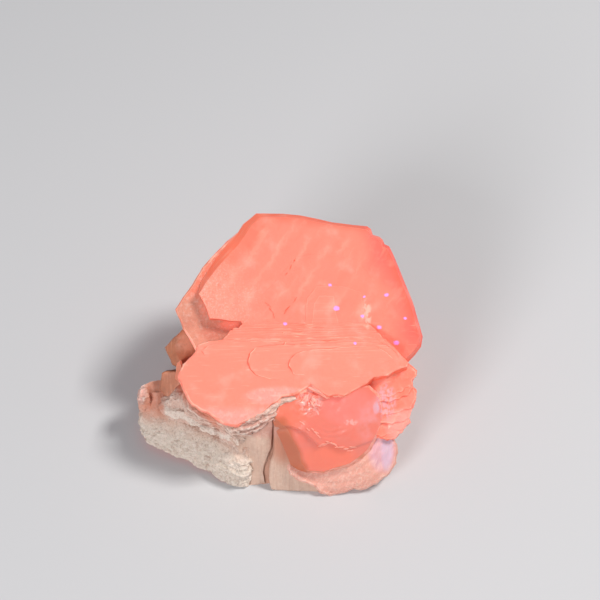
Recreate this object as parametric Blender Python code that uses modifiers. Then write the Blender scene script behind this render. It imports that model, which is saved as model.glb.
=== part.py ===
"""A hand-sized calcite specimen: tabular crystals grown in parallel on a rough, broken foot.

The crystals are flat six-sided plates that lean back together, like books on a slope, so most of
them are drawn in a slope frame: u runs to the right, v runs up the slope, and w stands out from the
big faces. The foot was broken from the rock with steep sides, so its blocks are drawn in plan and
raised straight up. Everything grew together, so the result is one solid.
"""

import math

import bmesh
import bpy
from mathutils import Euler, Matrix, Vector

MM = 0.001

# Driving dimensions, in millimetres and degrees.
LEAN = 40.0  # how far the big faces lean back from lying flat
SLOPE_ORIGIN = (5.9, 4.26, 41.0)  # a point on the great crystal's face, above the foot
FRONT_LEAN = 14.0  # the front plate lies this much flatter than the great crystal
FRONT_MIDDLE = (0.0, -20.0, 5.6)  # u, v, w of the middle of the front plate
FOOT_DEPTH = 6.0  # how far the blocks are drawn below the ground, before they are cut flat
OVERHANG = 7.0  # the left end's underside rises from the ground at this angle
OVERHANG_START = -19.0  # where it leaves the ground, to the left of the slope origin
CUT_BLOCK = 200.0  # side of the blocks that cut the foot
WELD = 0.01

# Outlines of the leaning plates, as u and v in the slope frame.
GREAT_CRYSTAL = [
    (-34.6, -2.5), (-32.6, 0.6), (-30, 4.2), (-27, 9.2), (-24.7, 11.7), (-20.2, 16.2), (-17.2, 18.7),
    (-15.5, 21.3), (-12.3, 24), (0, 23.4), (8, 21.8), (18.6, 20.4), (20, 18.2), (22.9, 16.7),
    (23.2, 15.2), (24.8, 14.6), (27.5, 8.2), (31.6, -1.5), (34, -10.5), (33.5, -13), (30, -16.8),
    (20, -26), (-2, -30), (-22, -22), (-30.9, -10.2),
]
GREAT_FACE = [
    (-27.6, 1.8), (-25, 6), (-20, 12), (-14.5, 18.5), (-11, 22.5), (0, 22.3), (18.2, 19.4),
    (19.5, 17.4), (22.2, 15.6), (22.6, 14.4), (24, 13.8), (26.6, 7.5), (30.5, -2), (32.6, -10),
    (31.8, -13), (26, -19), (10, -22), (-10, -18), (-16.3, -6.6), (-16.3, -5.9), (-20.5, -5.9),
    (-24.8, -4.9), (-25.9, -2),
]
GREAT_BACK = [
    (-33, -4), (-28, 4.4), (-21.5, 13), (-16.5, 17.4), (-11.8, 22.4), (2, 21.6), (16, 19.6),
    (22.5, 12.2), (28, -0.5), (31.2, -11), (26, -18), (16, -26), (-14, -26), (-29, -12),
]
SECOND_CRYSTAL = [
    (-38.4, -13.2), (-35.6, -10.9), (-31.5, -7.5), (-23, 3), (-15, 12), (-8, 15.5), (12, 13), (21, 8),
    (28, -5), (30.5, -14), (26, -24), (10, -34), (-20, -34), (-34.8, -18.6), (-36.2, -17),
]
THIRD_CRYSTAL = [
    (-39, -24), (-37.9, -19.8), (-34.8, -19.2), (-33, -14), (-24, 1), (-18, 7.5), (6, 9), (19, 2),
    (27, -10), (28, -22), (20, -32), (-10, -40), (-33, -35),
]
REAR_CRYSTAL = [
    (-31, -21), (-23, -8), (-17, -3), (4, 0.5), (18, -6), (25, -18), (24, -30), (-26, -32),
]
RIGHT_UPPER = [
    (18, -14), (29.8, -17.2), (31.6, -18.2), (32.5, -19.6), (32.2, -20.8), (31.2, -22.4),
    (31.3, -23.8), (27, -28.5), (15, -26),
]
RIGHT_LOWER = [
    (18, -20), (31, -22.8), (32.6, -24.8), (32.1, -27.6), (31, -30.6), (30.3, -32.8), (31, -33.8),
    (29.2, -35.6), (27.6, -36.6), (26.3, -38.3), (20, -38), (14, -30),
]

# Outlines of the front plate and the sheets under and over it, measured from FRONT_MIDDLE.
FRONT_PLATE = [
    (-33.4, -1), (-32.3, 2), (-30.2, 4.4), (-28.9, 6.2), (-28.2, 8.1), (-25.3, 9.3), (-20, 10.1),
    (0, 10.6), (20, 10.5), (24, 9.8), (27.5, 5.9), (29.8, 3), (29.4, 1.6), (24, -0.4),
    (20.3, -0.2), (18.8, -2.2), (12.5, -4.2), (10.5, -5.3), (7, -4.9), (5.5, -4.2), (3.9, -2.7),
    (1.5, -4.7), (-1.5, -6.2), (-5, -6.4), (-8, -8.6), (-11.5, -11.4), (-16, -13.4), (-17.5, -14.4),
    (-21, -13.5), (-25, -10.8), (-29.5, -8.4), (-31.5, -5.2), (-32.6, -2.8),
]
FRONT_UNDER_SHEET = [
    (-21, 10.3), (-19.5, 12.4), (-16.3, 14.6), (-14, 15.2), (16, 15), (19, 13.9), (26, 7.7),
    (30, 2.6), (20, -3), (0, -4), (-18, -8), (-33.6, -1), (-33.6, 3),
]
FRONT_OVER_SHEET = [
    (-14.5, 4.6), (-13.5, 7.9), (-8, 9), (-4, 9.7), (19, 9.7), (23.5, 8.8), (26.6, 5.6), (28.6, 3),
    (24, 0.4), (18, -0.5), (12, -3), (6, -3.4), (4, -1.4), (0, -4.6), (-5, -4.9), (-10, -3.4),
    (-13.6, 1.4),
]

# Outlines of the foot, in plan, measured from the slope origin.
LEFT_LOWER_BLOCK = [
    (-46, -13.6), (-45.3, -17.4), (-43.5, -20), (-40.5, -22), (-35, -24.5), (-30, -27), (-25, -29.3),
    (-21, -32.2), (-16.5, -34.2), (-14.2, -33.8), (-11.5, -31.9), (-10, -32.2), (-8.2, -23),
    (-10, -6), (-36, -6), (-39.5, -9.8), (-43, -10),
]
LEFT_UPPER_BLOCK = [
    (-37.2, -16), (-37.3, -18.6), (-36, -21.2), (-33.8, -23), (-30, -24), (-27, -25.6), (-22, -28.2),
    (-17, -31.2), (-12.5, -32), (-10, -31.2), (-8.4, -23), (-10, -4), (-30, -4), (-35.5, -12.5),
]
RIGHT_BLOCK = [
    (-8.4, -31), (-7.4, -33.6), (-4.6, -34.6), (4, -35.1), (8, -36.8), (11, -36.4), (14, -34.6),
    (17, -34.8), (20, -33.5), (24, -30.2), (26, -26.3), (27.3, -19.8), (26.3, -15.6), (26, 4),
    (16, 21), (-20, 22), (-30, 6), (-18, -8), (-9.2, -20),
]

# Corners of the broken blocks, as u, v and w in the slope frame.
BROKEN_CRYSTAL = [
    (-6, -27, 4.5), (4, -22, 6), (14, -21, 6), (22.5, -25, 3), (-5, -33.6, 3.6), (0, -45.4, -1.8),
    (7.5, -46.8, -2.2), (12.5, -46, -2.6), (18, -41.6, -2), (22, -35, -0.4), (23.2, -29.5, 1),
    (2, -38.4, 2.8), (16, -39.8, 1.8), (-3.4, -43.6, -5.5), (-7, -32, -2), (-6, -20, -12),
    (22, -16, -12), (20, -38, -12), (0, -44, -12),
]
STRIPED_BLOCK = [
    (-8.2, -34.5, 3), (-5, -34.2, 4), (-3, -44.5, -2), (0.5, -48.6, -4.6), (3, -53, -8.4),
    (-8.2, -52.6, -8.2), (-8.2, -58, -15), (4, -58, -15), (-8.8, -20, -14), (0, -20, -14),
]


def new_collection(name):
    """A collection of that name in the scene."""
    made = bpy.data.collections.new(name)
    bpy.context.scene.collection.children.link(made)
    return made


def clear_scene():
    for obj in list(bpy.data.objects):
        bpy.data.objects.remove(obj)


def calcite_material():
    """Milky calcite: pale pink, with the soft shine of a worn crystal."""
    material = bpy.data.materials.new("calcite")
    material.use_nodes = True
    shader = material.node_tree.nodes["Principled BSDF"]
    shader.inputs["Base Color"].default_value = (0.93, 0.47, 0.36, 1.0)
    shader.inputs["Roughness"].default_value = 0.45
    shader.inputs["Metallic"].default_value = 0.0
    return material


def mesh_object(name, mesh, matrix, collection):
    obj = bpy.data.objects.new(name, mesh)
    obj.matrix_world = matrix
    collection.objects.link(obj)
    return obj


def soften_edges(obj, width):
    """A small bevel on every sharp edge, as on a crystal that has been handled."""
    bevel = obj.modifiers.new("worn_edges", "BEVEL")
    bevel.width = width * MM
    bevel.segments = 1
    bevel.limit_method = "ANGLE"
    bevel.angle_limit = math.radians(50)
    bevel.use_clamp_overlap = True


def prism(name, outline, thickness, matrix, collection, worn=0.5):
    """A flat outline given a thickness, half to each side of its plane, and made a mesh."""
    curve = bpy.data.curves.new(name, "CURVE")
    curve.dimensions = "2D"
    curve.fill_mode = "BOTH"
    curve.extrude = thickness / 2 * MM
    spline = curve.splines.new("POLY")
    spline.points.add(len(outline) - 1)
    for point, (a, b) in zip(spline.points, outline):
        point.co = (a * MM, b * MM, 0.0, 1.0)
    spline.use_cyclic_u = True
    drawn = bpy.data.objects.new(name + "_outline", curve)
    collection.objects.link(drawn)
    drawn.matrix_world = matrix
    bpy.context.view_layer.update()
    graph = bpy.context.evaluated_depsgraph_get()
    mesh = bpy.data.meshes.new_from_object(drawn.evaluated_get(graph))
    mesh.name = name
    bpy.data.objects.remove(drawn)
    shape = bmesh.new()
    shape.from_mesh(mesh)
    bmesh.ops.remove_doubles(shape, verts=shape.verts, dist=WELD * MM)
    bmesh.ops.dissolve_limit(shape, angle_limit=math.radians(1), verts=shape.verts, edges=shape.edges)
    bmesh.ops.recalc_face_normals(shape, faces=shape.faces)
    shape.to_mesh(mesh)
    shape.free()
    obj = mesh_object(name, mesh, matrix, collection)
    soften_edges(obj, worn)
    return obj


def slope_matrix(lean=LEAN, middle=(0.0, 0.0, 0.0)):
    """From a plane on the slope to the world: middle is its u, v, w, and lean its own angle."""
    origin = Matrix.Translation(Vector(SLOPE_ORIGIN) * MM)
    slope = Euler((math.radians(LEAN), 0, 0)).to_matrix().to_4x4()
    turned = Euler((math.radians(lean - LEAN), 0, 0)).to_matrix().to_4x4()
    return origin @ slope @ Matrix.Translation(Vector(middle) * MM) @ turned


def leaning_plate(name, outline, face, thickness, collection, worn=0.6):
    """A plate on the slope whose front face stands at w = face."""
    matrix = slope_matrix(middle=(0, 0, face - thickness / 2))
    return prism(name, outline, thickness, matrix, collection, worn)


def front_sheet(name, outline, face, thickness, collection):
    """A sheet of the front plate, its face that far out from the plate's own plane."""
    matrix = slope_matrix(LEAN - FRONT_LEAN, FRONT_MIDDLE)
    matrix = matrix @ Matrix.Translation((0, 0, (face - thickness / 2) * MM))
    return prism(name, outline, thickness, matrix, collection)


def foot_block(name, outline, top, collection, low=-FOOT_DEPTH, worn=1.5):
    """A steep-sided block of the foot, between two heights above the ground."""
    x, y, _ = SLOPE_ORIGIN
    matrix = Matrix.Translation(Vector((x, y, (top + low) / 2)) * MM)
    return prism(name, outline, top - low, matrix, collection, worn)


def broken_block(name, corners, collection):
    """A block that broke along many planes: the hull of its corners on the slope."""
    shape = bmesh.new()
    for corner in corners:
        shape.verts.new(Vector(corner) * MM)
    hull = bmesh.ops.convex_hull(shape, input=shape.verts)
    bmesh.ops.delete(shape, geom=hull["geom_interior"] + hull["geom_unused"], context="VERTS")
    bmesh.ops.recalc_face_normals(shape, faces=shape.faces)
    mesh = bpy.data.meshes.new(name)
    shape.to_mesh(mesh)
    shape.free()
    return mesh_object(name, mesh, slope_matrix(), collection)


def cutting_block(name, corner, angle, collection):
    """A big block whose top runs left from a point, in millimetres, and rises at that angle."""
    shape = bmesh.new()
    bmesh.ops.create_cube(shape, size=CUT_BLOCK * MM)
    mesh = bpy.data.meshes.new(name)
    shape.to_mesh(mesh)
    shape.free()
    turned = Euler((0, math.radians(angle), 0)).to_matrix().to_4x4()
    matrix = Matrix.Translation(Vector(corner) * MM) @ turned
    matrix = matrix @ Matrix.Translation(Vector((-CUT_BLOCK / 2, 0, -CUT_BLOCK / 2)) * MM)
    return mesh_object(name, mesh, matrix, collection)


def boolean(obj, name, operation, collection):
    """Joins obj with, or cuts it by, every object of a collection."""
    made = obj.modifiers.new(name, "BOOLEAN")
    made.operation = operation
    made.solver = "EXACT"
    made.operand_type = "COLLECTION"
    made.collection = collection


def build():
    clear_scene()
    cluster = new_collection("calcite_specimen")
    growths = new_collection("growths")
    cutters = new_collection("cutters")

    leaning_plate("great_face", GREAT_FACE, 0.0, 6.0, growths)
    leaning_plate("great_back", GREAT_BACK, -8.0, 8.0, growths)
    leaning_plate("second_crystal", SECOND_CRYSTAL, -12.0, 11.0, growths)
    leaning_plate("third_crystal", THIRD_CRYSTAL, -20.0, 13.0, growths)
    leaning_plate("rear_crystal", REAR_CRYSTAL, -30.0, 14.0, growths)
    leaning_plate("right_upper", RIGHT_UPPER, 1.0, 8.0, growths)
    leaning_plate("right_lower", RIGHT_LOWER, -2.5, 10.0, growths)
    front_sheet("front_plate", FRONT_PLATE, 0.0, 6.0, growths)
    front_sheet("front_under_sheet", FRONT_UNDER_SHEET, -2.0, 8.0, growths)
    front_sheet("front_over_sheet", FRONT_OVER_SHEET, 0.8, 3.0, growths)
    foot_block("left_lower_block", LEFT_LOWER_BLOCK, 17.0, growths)
    foot_block("left_upper_block", LEFT_UPPER_BLOCK, 25.0, growths, low=10.0)
    foot_block("right_block", RIGHT_BLOCK, 9.0, growths, worn=3.5)
    broken_block("broken_crystal", BROKEN_CRYSTAL, growths)
    broken_block("striped_block", STRIPED_BLOCK, growths)
    cutting_block("ground_cutter", (CUT_BLOCK / 2, 0, 0), 0, cutters)
    cutting_block("overhang_cutter", (SLOPE_ORIGIN[0] + OVERHANG_START, 0, 0), OVERHANG, cutters)
    for helper in [*growths.objects, *cutters.objects]:
        helper.hide_render = True
        helper.display_type = "WIRE"

    specimen = leaning_plate("calcite_cluster", GREAT_CRYSTAL, -3.0, 7.5, cluster, worn=0.8)
    specimen.data.materials.append(calcite_material())
    boolean(specimen, "grown_together", "UNION", growths)
    boolean(specimen, "flat_foot", "DIFFERENCE", cutters)


build()
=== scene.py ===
# %% [markdown]
# # A calcite specimen, grown in sheets and broken from its rock
#
# Calcite often grows as flat six-sided plates. Here many plates grew in parallel, so the specimen is
# a stack of sheets that lean back together, and its foot is the rough break where it left the rock.
# Under ultraviolet light the crystals glow salmon pink. The solid model that is loaded below gives
# the places and the sizes. Everything made here stands for its one solid.

import math

import bmesh
import bpy
import numpy as np
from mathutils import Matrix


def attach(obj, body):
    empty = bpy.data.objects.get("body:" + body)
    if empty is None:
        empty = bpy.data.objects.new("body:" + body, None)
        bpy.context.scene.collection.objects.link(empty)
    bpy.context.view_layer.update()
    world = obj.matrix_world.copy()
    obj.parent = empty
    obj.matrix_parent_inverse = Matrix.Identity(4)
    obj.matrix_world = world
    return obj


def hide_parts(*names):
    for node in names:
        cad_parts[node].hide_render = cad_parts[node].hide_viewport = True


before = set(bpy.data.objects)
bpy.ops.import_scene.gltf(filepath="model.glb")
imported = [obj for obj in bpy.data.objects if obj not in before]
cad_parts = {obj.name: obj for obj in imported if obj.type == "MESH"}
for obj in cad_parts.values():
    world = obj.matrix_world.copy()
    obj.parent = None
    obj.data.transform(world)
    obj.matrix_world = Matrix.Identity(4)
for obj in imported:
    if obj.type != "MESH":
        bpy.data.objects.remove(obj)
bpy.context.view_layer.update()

# %% [markdown]
# ## Drawing boards
#
# Every growth is drawn flat and then raised from its drawing, so the first tool is a drawing board
# that can stand anywhere. A board has an origin and leans back by an angle. A point on it has three
# numbers: across to the right, up the board, and out from its face. The great crystal leans 40
# degrees, the front plate lies 14 degrees flatter, and the foot is drawn on the ground.

# %% The drawing boards
MM = 0.001
GREAT_LEAN = 40.0
FRONT_LEAN = 26.0
SLOPE_ORIGIN = (5.9, 4.26, 41.0)  # on the great crystal's face, above the foot
FRONT_MIDDLE = (0.0, -20.0, 5.6)  # across, up and out from there


class Board:
    """A drawing board: its place is origin + a * across + b * up + c * out, all in millimetres."""

    def __init__(self, origin, lean):
        turn = math.radians(lean)
        self.origin = np.array(origin, float)
        cosine, sine = math.cos(turn), math.sin(turn)
        self.axes = np.array([[1, 0, 0], [0, cosine, sine], [0, -sine, cosine]])

    def place(self, points):
        """From places on the board to places in the world."""
        return self.origin + np.asarray(points, float) @ self.axes

    def read(self, points):
        """From places in the world to places on the board."""
        return (np.asarray(points, float) - self.origin) @ self.axes.T


slope = Board(SLOPE_ORIGIN, GREAT_LEAN)
front = Board(slope.place(FRONT_MIDDLE), FRONT_LEAN)
ground = Board((*SLOPE_ORIGIN[:2], 0.0), 0.0)
print("the front plate's middle is at", front.origin.round(1), "mm")

# %% [markdown]
# ## Random heights
#
# Broken stone is rough at every size, and a crystal's edge is notched. Both start from the same
# noise: random numbers on a lattice, blended smoothly in between. It is seeded, so the specimen is
# the same each time.

# %% Noise
LATTICE = 32


def noise(points, size, seed, octaves=1):
    """Smooth random heights from -1 to 1.

    Each corner of a lattice cell holds a random number. A point takes their mean, weighted along each
    axis by 3 t^2 - 2 t^3. Each further octave halves the cell and the height.
    """
    points = np.asarray(points, float)
    draw = np.random.default_rng(seed)
    total = np.zeros(points.shape[:-1])
    for octave in range(octaves):
        table = draw.uniform(-1, 1, (LATTICE, LATTICE, LATTICE))
        where = points / size * 2**octave + draw.uniform(0, LATTICE, 3)
        cell = np.floor(where).astype(int)
        t = where - cell
        t = t * t * (3 - 2 * t)
        for corner in np.ndindex(2, 2, 2):
            weight = np.prod(np.where(corner, t, 1 - t), axis=-1)
            index = (cell + corner) % LATTICE
            total += weight * table[index[..., 0], index[..., 1], index[..., 2]] / 2**octave
    return total


print("noise at three points:", noise([[0, 0, 0], [1, 0, 0], [2, 0, 0]], 3.0, seed=1).round(2))

# %% [markdown]
# ## An outline as a distance in every direction
#
# A plate is drawn as the corners of its outline. To make a grid of it, each outline becomes a
# function of the angle round a middle point: how far away the edge is in that direction. Two outlines
# cut at the same angles can then be joined, as a bevel joins a base to a smaller face.

# %% Outlines by angle


def cross(a, b):
    """The cross product of flat vectors: ax * by - ay * bx."""
    return a[..., 0] * b[..., 1] - a[..., 1] * b[..., 0]


def cut_angles(outlines, middle, spacing):
    """The angles at which to cut: equal steps along the first outline, and every corner of all."""
    corners = np.array(outlines[0], float)
    loop = np.vstack([corners, corners[:1]])
    along = np.append(0, np.cumsum(np.hypot(*np.diff(loop, axis=0).T)))
    steps = np.arange(0, along[-1], spacing)
    even = np.stack([np.interp(steps, along, loop[:, i]) for i in (0, 1)], -1)
    points = np.vstack([even, *outlines]) - middle
    return np.unique(np.arctan2(points[:, 1], points[:, 0]).round(4))


def reach(outline, middle, angles):
    """How far the outline is at each angle.

    A ray meets the line from corner a to corner b at a x (b - a) / ray x (b - a). The farthest
    crossing that lies between a and b counts.
    """
    a = np.array(outline, float) - middle
    edge = np.roll(a, -1, 0) - a
    ray = np.stack([np.cos(angles), np.sin(angles)], -1)[:, None]
    turn = cross(ray, edge)
    turn = np.where(np.abs(turn) < 1e-9, 1e-9, turn)
    far = cross(a, edge) / turn
    share = cross(a, ray) / turn
    hit = (share > -1e-3) & (share < 1.001) & (far > 0)
    return np.where(hit, far, 0).max(1)


square = [(-1, -1), (1, -1), (1, 1), (-1, 1)]
print("a square's corner is", reach(square, (0, 0), np.array([math.pi / 4])).round(3), "away at 45 degrees")

# %% [markdown]
# ## From rings of points to a closed mesh
#
# Every growth is a stack of rings with the same number of points, run the same way round. Joining
# each ring to the next gives the skin, and one point at each end closes it. Each face also keeps a
# number that says which finish it has: the join of all the growths carries that number along.

# %% Closed meshes
FROSTED, EDGE, RIM, TERRACE, BROWN, CLEAR, CRUST, FOOT, WALL, PINK_CRUST, FLANK, FROST, CREVICE = range(13)


def read_mesh(items, name, kind, width=1):
    """One property of all the items, as a flat array."""
    values = np.empty(len(items) * width, kind)
    items.foreach_get(name, values)
    return values


def closed_mesh(name, rings, finishes):
    """A closed mesh from rings of points in millimetres, low to high, anticlockwise seen from above.

    finishes has one number for the low end, one for each band between two rings, one for the high end.
    """
    levels, around = rings.shape[:2]
    grid = np.arange(levels * around).reshape(levels, around)
    after = np.roll(grid, -1, 1)
    bands = np.stack([grid[:-1], after[:-1], after[1:], grid[1:]], -1).reshape(-1, 4)
    low_end = np.stack([after[0], grid[0], np.full(around, levels * around)], -1)
    high_end = np.stack([grid[-1], after[-1], np.full(around, levels * around + 1)], -1)
    points = np.vstack([rings.reshape(-1, 3), rings[0].mean(0), rings[-1].mean(0)]) * MM
    mesh = bpy.data.meshes.new(name)
    mesh.from_pydata(points, [], low_end.tolist() + bands.tolist() + high_end.tolist())
    finish = mesh.attributes.new("finish", "FLOAT", "FACE")
    finish.data.foreach_set("value", np.repeat(np.array(finishes, float), around))
    made = bpy.data.objects.new(name, mesh)
    bpy.context.scene.collection.objects.link(made)
    return made


# %% [markdown]
# ## One function for every growth
#
# A growth is a function of the angle round its middle and of the level through it. From the bottom
# up: a flat underside, a side of thin layers with their own small insets, a bevel, and a face whose
# height is a function of the place on the board. Layers with random insets are how a real crystal's
# side looks, because each is the edge of one growth sheet. Rounding the noise to steps makes an inset
# a notch instead of a wave.

# %% A growth
# The rim's pale line is a painted highlight along each face's edge.
RIM_WIDTH = 0.26  # the pale line where a face meets its bevel
UNDERSIDE_RINGS = (0.5, 0.94)  # how far out the rings under a growth are, as shares of its outline
LAYER_SHIFT = 5.3  # moves each layer to other noise, so that no two have the same notches
FACE_ROUGHNESS = 0.4  # a face's share of the side's roughness
BEVEL_FADE = 0.14  # how much paler each band of a wide bevel is than the one before


def skin_normals(rings):
    """The outward direction at each point: the way round crossed with the way up."""
    round_step = np.roll(rings, -1, 1) - np.roll(rings, 1, 1)
    up_step = np.gradient(rings, axis=0)
    normals = np.cross(round_step, up_step)
    return normals / np.maximum(np.linalg.norm(normals, axis=-1, keepdims=True), 1e-9)


def growth(name, board, outer, low, top, finish, inner=None, middle=None, edge=None, layers=6,
           ragged=0.15, notch=2.5, bevel=0.3, spacing=0.6, rings=8, rough=0.0, grain=3.0, seed=1):
    """A closed growth, drawn on a board.

    outer is the outline of its side, and inner that of its face where a bevel joins them. low is the
    underside's height, top the face's height and edge the height where the bevel starts, each a number
    or a function of across and up. finish holds the finishes of the side, the rim, the bevel and the
    face. ragged is how deep the layers' insets go, notch how long they are, rough how far the skin is
    pushed in or out by noise of the size grain.
    """
    draw = np.random.default_rng(seed)
    middle = np.mean(outer, axis=0) if middle is None else np.array(middle, float)
    angles = cut_angles([outer, outer if inner is None else inner], middle, spacing)
    ray = np.stack([np.cos(angles), np.sin(angles)], -1)
    side = reach(outer, middle, angles)

    def height(level, radius):
        """A level's height in every direction, at that distance from the middle."""
        spot = middle + ray * radius[:, None]
        return level(spot[:, 0], spot[:, 1]) if callable(level) else np.full(len(angles), float(level))

    start = height(top, side) - bevel if edge is None else height(edge, side)
    under = height(low, side)
    share = np.append(0, np.cumsum(draw.uniform(0.4, 1.6, layers)))
    share /= share[-1]
    rows = [(side * scale, under, 0) for scale in UNDERSIDE_RINGS]
    spot = np.hstack([middle + ray * side[:, None], np.zeros((len(angles), 1))])
    for layer in range(layers):
        jag = noise(spot + (0, 0, LAYER_SHIFT * layer), notch, seed + 1)
        inset = ragged * (0.5 + 0.5 * np.round(2.5 * jag) / 2.5 + draw.uniform(0, 0.7))
        for end in (0.02, 0.98):
            mix = share[layer] + (share[layer + 1] - share[layer]) * end
            rows.append((side - inset, under + (start - under) * mix, 0))
    brink = side - inset
    if inner is None:
        shoulder = brink - bevel
        rim = shoulder - RIM_WIDTH
        rows += [(shoulder, height(top, shoulder), 2), (rim, height(top, rim), 1)]
    else:
        rim = np.minimum(reach(inner, middle, angles), brink - 0.05)
        near = np.minimum(RIM_WIDTH / (brink - rim), 0.5)
        for step in range(5):
            part = near + (1 - near) * step / 4
            level = start + (height(top, rim) - start) * part
            rows.append((brink + (rim - brink) * part, level, 2 if step else 1))
    for scale in np.linspace(1, 0, rings + 1)[1:-1]:
        rows.append((rim * scale, height(top, rim * scale), 3))
    radii, heights, kinds = zip(*rows)
    flat = middle + ray * np.array(radii)[..., None]
    points = board.place(np.concatenate([flat, np.array(heights)[..., None]], -1))
    if rough:
        weight = np.where(np.array(kinds) == 3, FACE_ROUGHNESS, 1.0)[:, None] * rough
        points += skin_normals(points) * (weight * noise(points, grain, seed + 2, 4))[..., None]
    bands = [0, *kinds[1:], 3]
    fading = np.cumsum([kind == 2 for kind in bands]) * BEVEL_FADE * (inner is not None)
    return closed_mesh(name, points, [finish[k] + (f if k == 2 else 0) for k, f in zip(bands, fading)])


def faces_since(first):
    """How many faces each growth has, from the first of this cell on."""
    return [len(made.data.polygons) for made in growths[first:]]


growths = []

# %% [markdown]
# ## Splinters
#
# Where a crystal has cracked, thin slivers stand along the crack, each long, narrow and pointed. One
# sliver is a growth whose outline is a lens with uneven sides. A whole crack is a line of them, with
# random lengths, widths and turns.

# %% A splinter and a line of splinters
SLIVER_CORNERS = 9  # along each side
SLIVER_TIP = 0.03  # half the width that is left at a tip
SLIVER_ROOT = -2.5  # the underside, deep inside the crystal


def splinter(name, board, middle, length, width, turn, face, finish, seed):
    """A sliver: its half width is w / 2 * (1 - t^2) along t from -1 to 1, made uneven at random."""
    draw = np.random.default_rng(seed)
    t = np.linspace(-1, 1, SLIVER_CORNERS)
    uneven = draw.uniform(0.5, 1.3, (2, SLIVER_CORNERS))
    low, high = width / 2 * (1 - t**2) * uneven + SLIVER_TIP
    run = t * length / 2
    shape = np.vstack([np.stack([run, -low], -1), np.stack([run, high], -1)[::-1]])
    turned = shape @ np.array([[math.cos(turn), math.sin(turn)], [-math.sin(turn), math.cos(turn)]])
    return growth(name, board, (turned + middle).tolist(), SLIVER_ROOT, face, (finish,) * 4, layers=1,
                  ragged=0.03, bevel=0.1, rings=3, spacing=0.3, seed=seed)


def splinter_line(name, board, path, count, lengths, widths, scatter, surface, rises, finish, seed):
    """Splinters set at random along a path, turned roughly along it, standing on a surface."""
    draw = np.random.default_rng(seed)
    path = np.array(path, float)
    steps = np.append(0, np.cumsum(np.hypot(*np.diff(path, axis=0).T)))
    made = []
    for number in range(count):
        spot = (number + draw.uniform(0.2, 0.8)) * steps[-1] / count
        a, b = (np.interp(spot, steps, path[:, i]) for i in (0, 1))
        piece = min(np.searchsorted(steps, spot), len(path) - 1)
        run = path[piece] - path[piece - 1]
        turn = math.atan2(run[1], run[0]) + draw.uniform(-0.35, 0.35)
        middle = (a + draw.normal(0, scatter), b + draw.normal(0, scatter))
        rise = draw.uniform(*rises)
        length, width = draw.uniform(*lengths), draw.uniform(*widths)
        made.append(
            splinter(f"{name}_{number + 1}", board, middle, length, width, turn,
                     lambda x, y, rise=rise: surface(x, y) + rise, finish, seed + number)
        )
    return made


# %% [markdown]
# ## The great crystal
#
# The biggest plate is a six-sided crystal. Its face is set back from its edge by a bevel that is wide
# along the upper left and narrow elsewhere. One layer lower, a terrace sticks out to the left, and
# its surface dips into a small pocket beside the front plate. On the face lie three very low growth
# hills, each about a tenth of a millimetre above the last: the newest sheets, which never reached the
# edge. Three short marks are cracks that healed, each a line of three slivers that barely stands out.

# %% The great crystal and its terrace
GREAT_EDGE = [
    (-28.1, 1.9), (-27.6, 4.6), (-23.8, 10.7), (-19.6, 16), (-17, 18.6), (-15.6, 21), (-13.3, 22.9),
    (-12.1, 23.9), (-4.6, 23.8), (-0.1, 23.4), (4.9, 22.4), (8.8, 21.5), (15, 20.7), (18.6, 20.4),
    (19.6, 19.6), (20.1, 18), (22, 17.4), (22.9, 16.5), (23.3, 15.4), (24.6, 14.8), (25.9, 12.3),
    (27.6, 8.1), (29, 4.5), (31.2, -0.6), (31.8, -2.8), (32.9, -6.7), (33.9, -10.1), (33.4, -12.9),
    (31.8, -15.1), (30.1, -16.9), (24, -23), (10, -24), (-8, -20), (-15.5, -8), (-16.4, -6),
    (-18.5, -6.1), (-22, -5.6), (-25, -5.4), (-26.2, -2.1),
]
GREAT_FACE = [
    (-27.6, 1.7), (-26, 4.4), (-22.4, 9.2), (-19.5, 12.2), (-17, 15), (-14.8, 18), (-13.2, 20.5),
    (-11, 22.5), (-4, 22.6), (0, 22.2), (5, 21.2), (8.8, 20.5), (14.8, 19.7), (18, 19.3), (18.8, 18.7),
    (19.3, 17.2), (21.3, 16.5), (22.1, 15.7), (22.5, 14.7), (23.7, 14.1), (25, 12), (26.6, 7.9),
    (28, 4.3), (30.1, -0.8), (30.8, -3), (31.8, -7), (32.6, -10.1), (32.1, -12.4), (30.6, -14.4),
    (28, -17), (23, -21.5), (10, -22.5), (-7.5, -18.8), (-15.2, -7.6), (-16.2, -5.8), (-18.4, -5.8),
    (-22, -5.2), (-24.7, -5), (-25.7, -2),
]
TERRACE_EDGE = [
    (-34.6, -2.6), (-32.6, 0.6), (-30, 4.2), (-27, 9.2), (-24.7, 11.8), (-20.2, 16.4), (-17.3, 18.7),
    (-15.8, 21), (-13.4, 22.9), (-10, 23.2), (5, 21.6), (18, 19.6), (22.5, 15), (28.5, 4), (33.3, -9),
    (33, -12.5), (30, -16), (24, -22), (8, -26), (-14, -24), (-26, -18), (-29.3, -13.6), (-31, -10.3),
    (-32.5, -8), (-33.4, -5.4),
]
HILLS = [  # how high, and the outline
    (0.06, [
        (-15, -8), (-10.5, 1.5), (-4.8, 8.2), (-1.6, 12.4), (4, 13.2), (16, 11.6), (21.5, 4),
        (23.5, -6), (20, -12), (-8, -12),
    ]),
    (0.19, [
        (0.8, -9), (1.4, 0.5), (4.2, 4.1), (11.5, 4.4), (17.2, 2.4), (18.8, -7), (10, -12),
    ]),
    (0.26, [
        (3, -8), (3.4, -1), (5.2, 1.6), (9.4, 1.4), (10.8, -7),
    ]),
]


def swell(across, up, size, seed, octaves=1):
    """Noise as a function of the place on a board."""
    return noise(np.stack([across, up, 0 * up], -1), size, seed, octaves)


def great_height(across, up):
    """Almost flat, with slow swells a tenth of a millimetre high and a rougher left half."""
    coarse = np.clip((-across - 6) / 8, 0, 1)
    return 0.12 * swell(across, up, 11.0, 5) + 0.1 * coarse * swell(across, up, 2.6, 4, 2)


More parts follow.
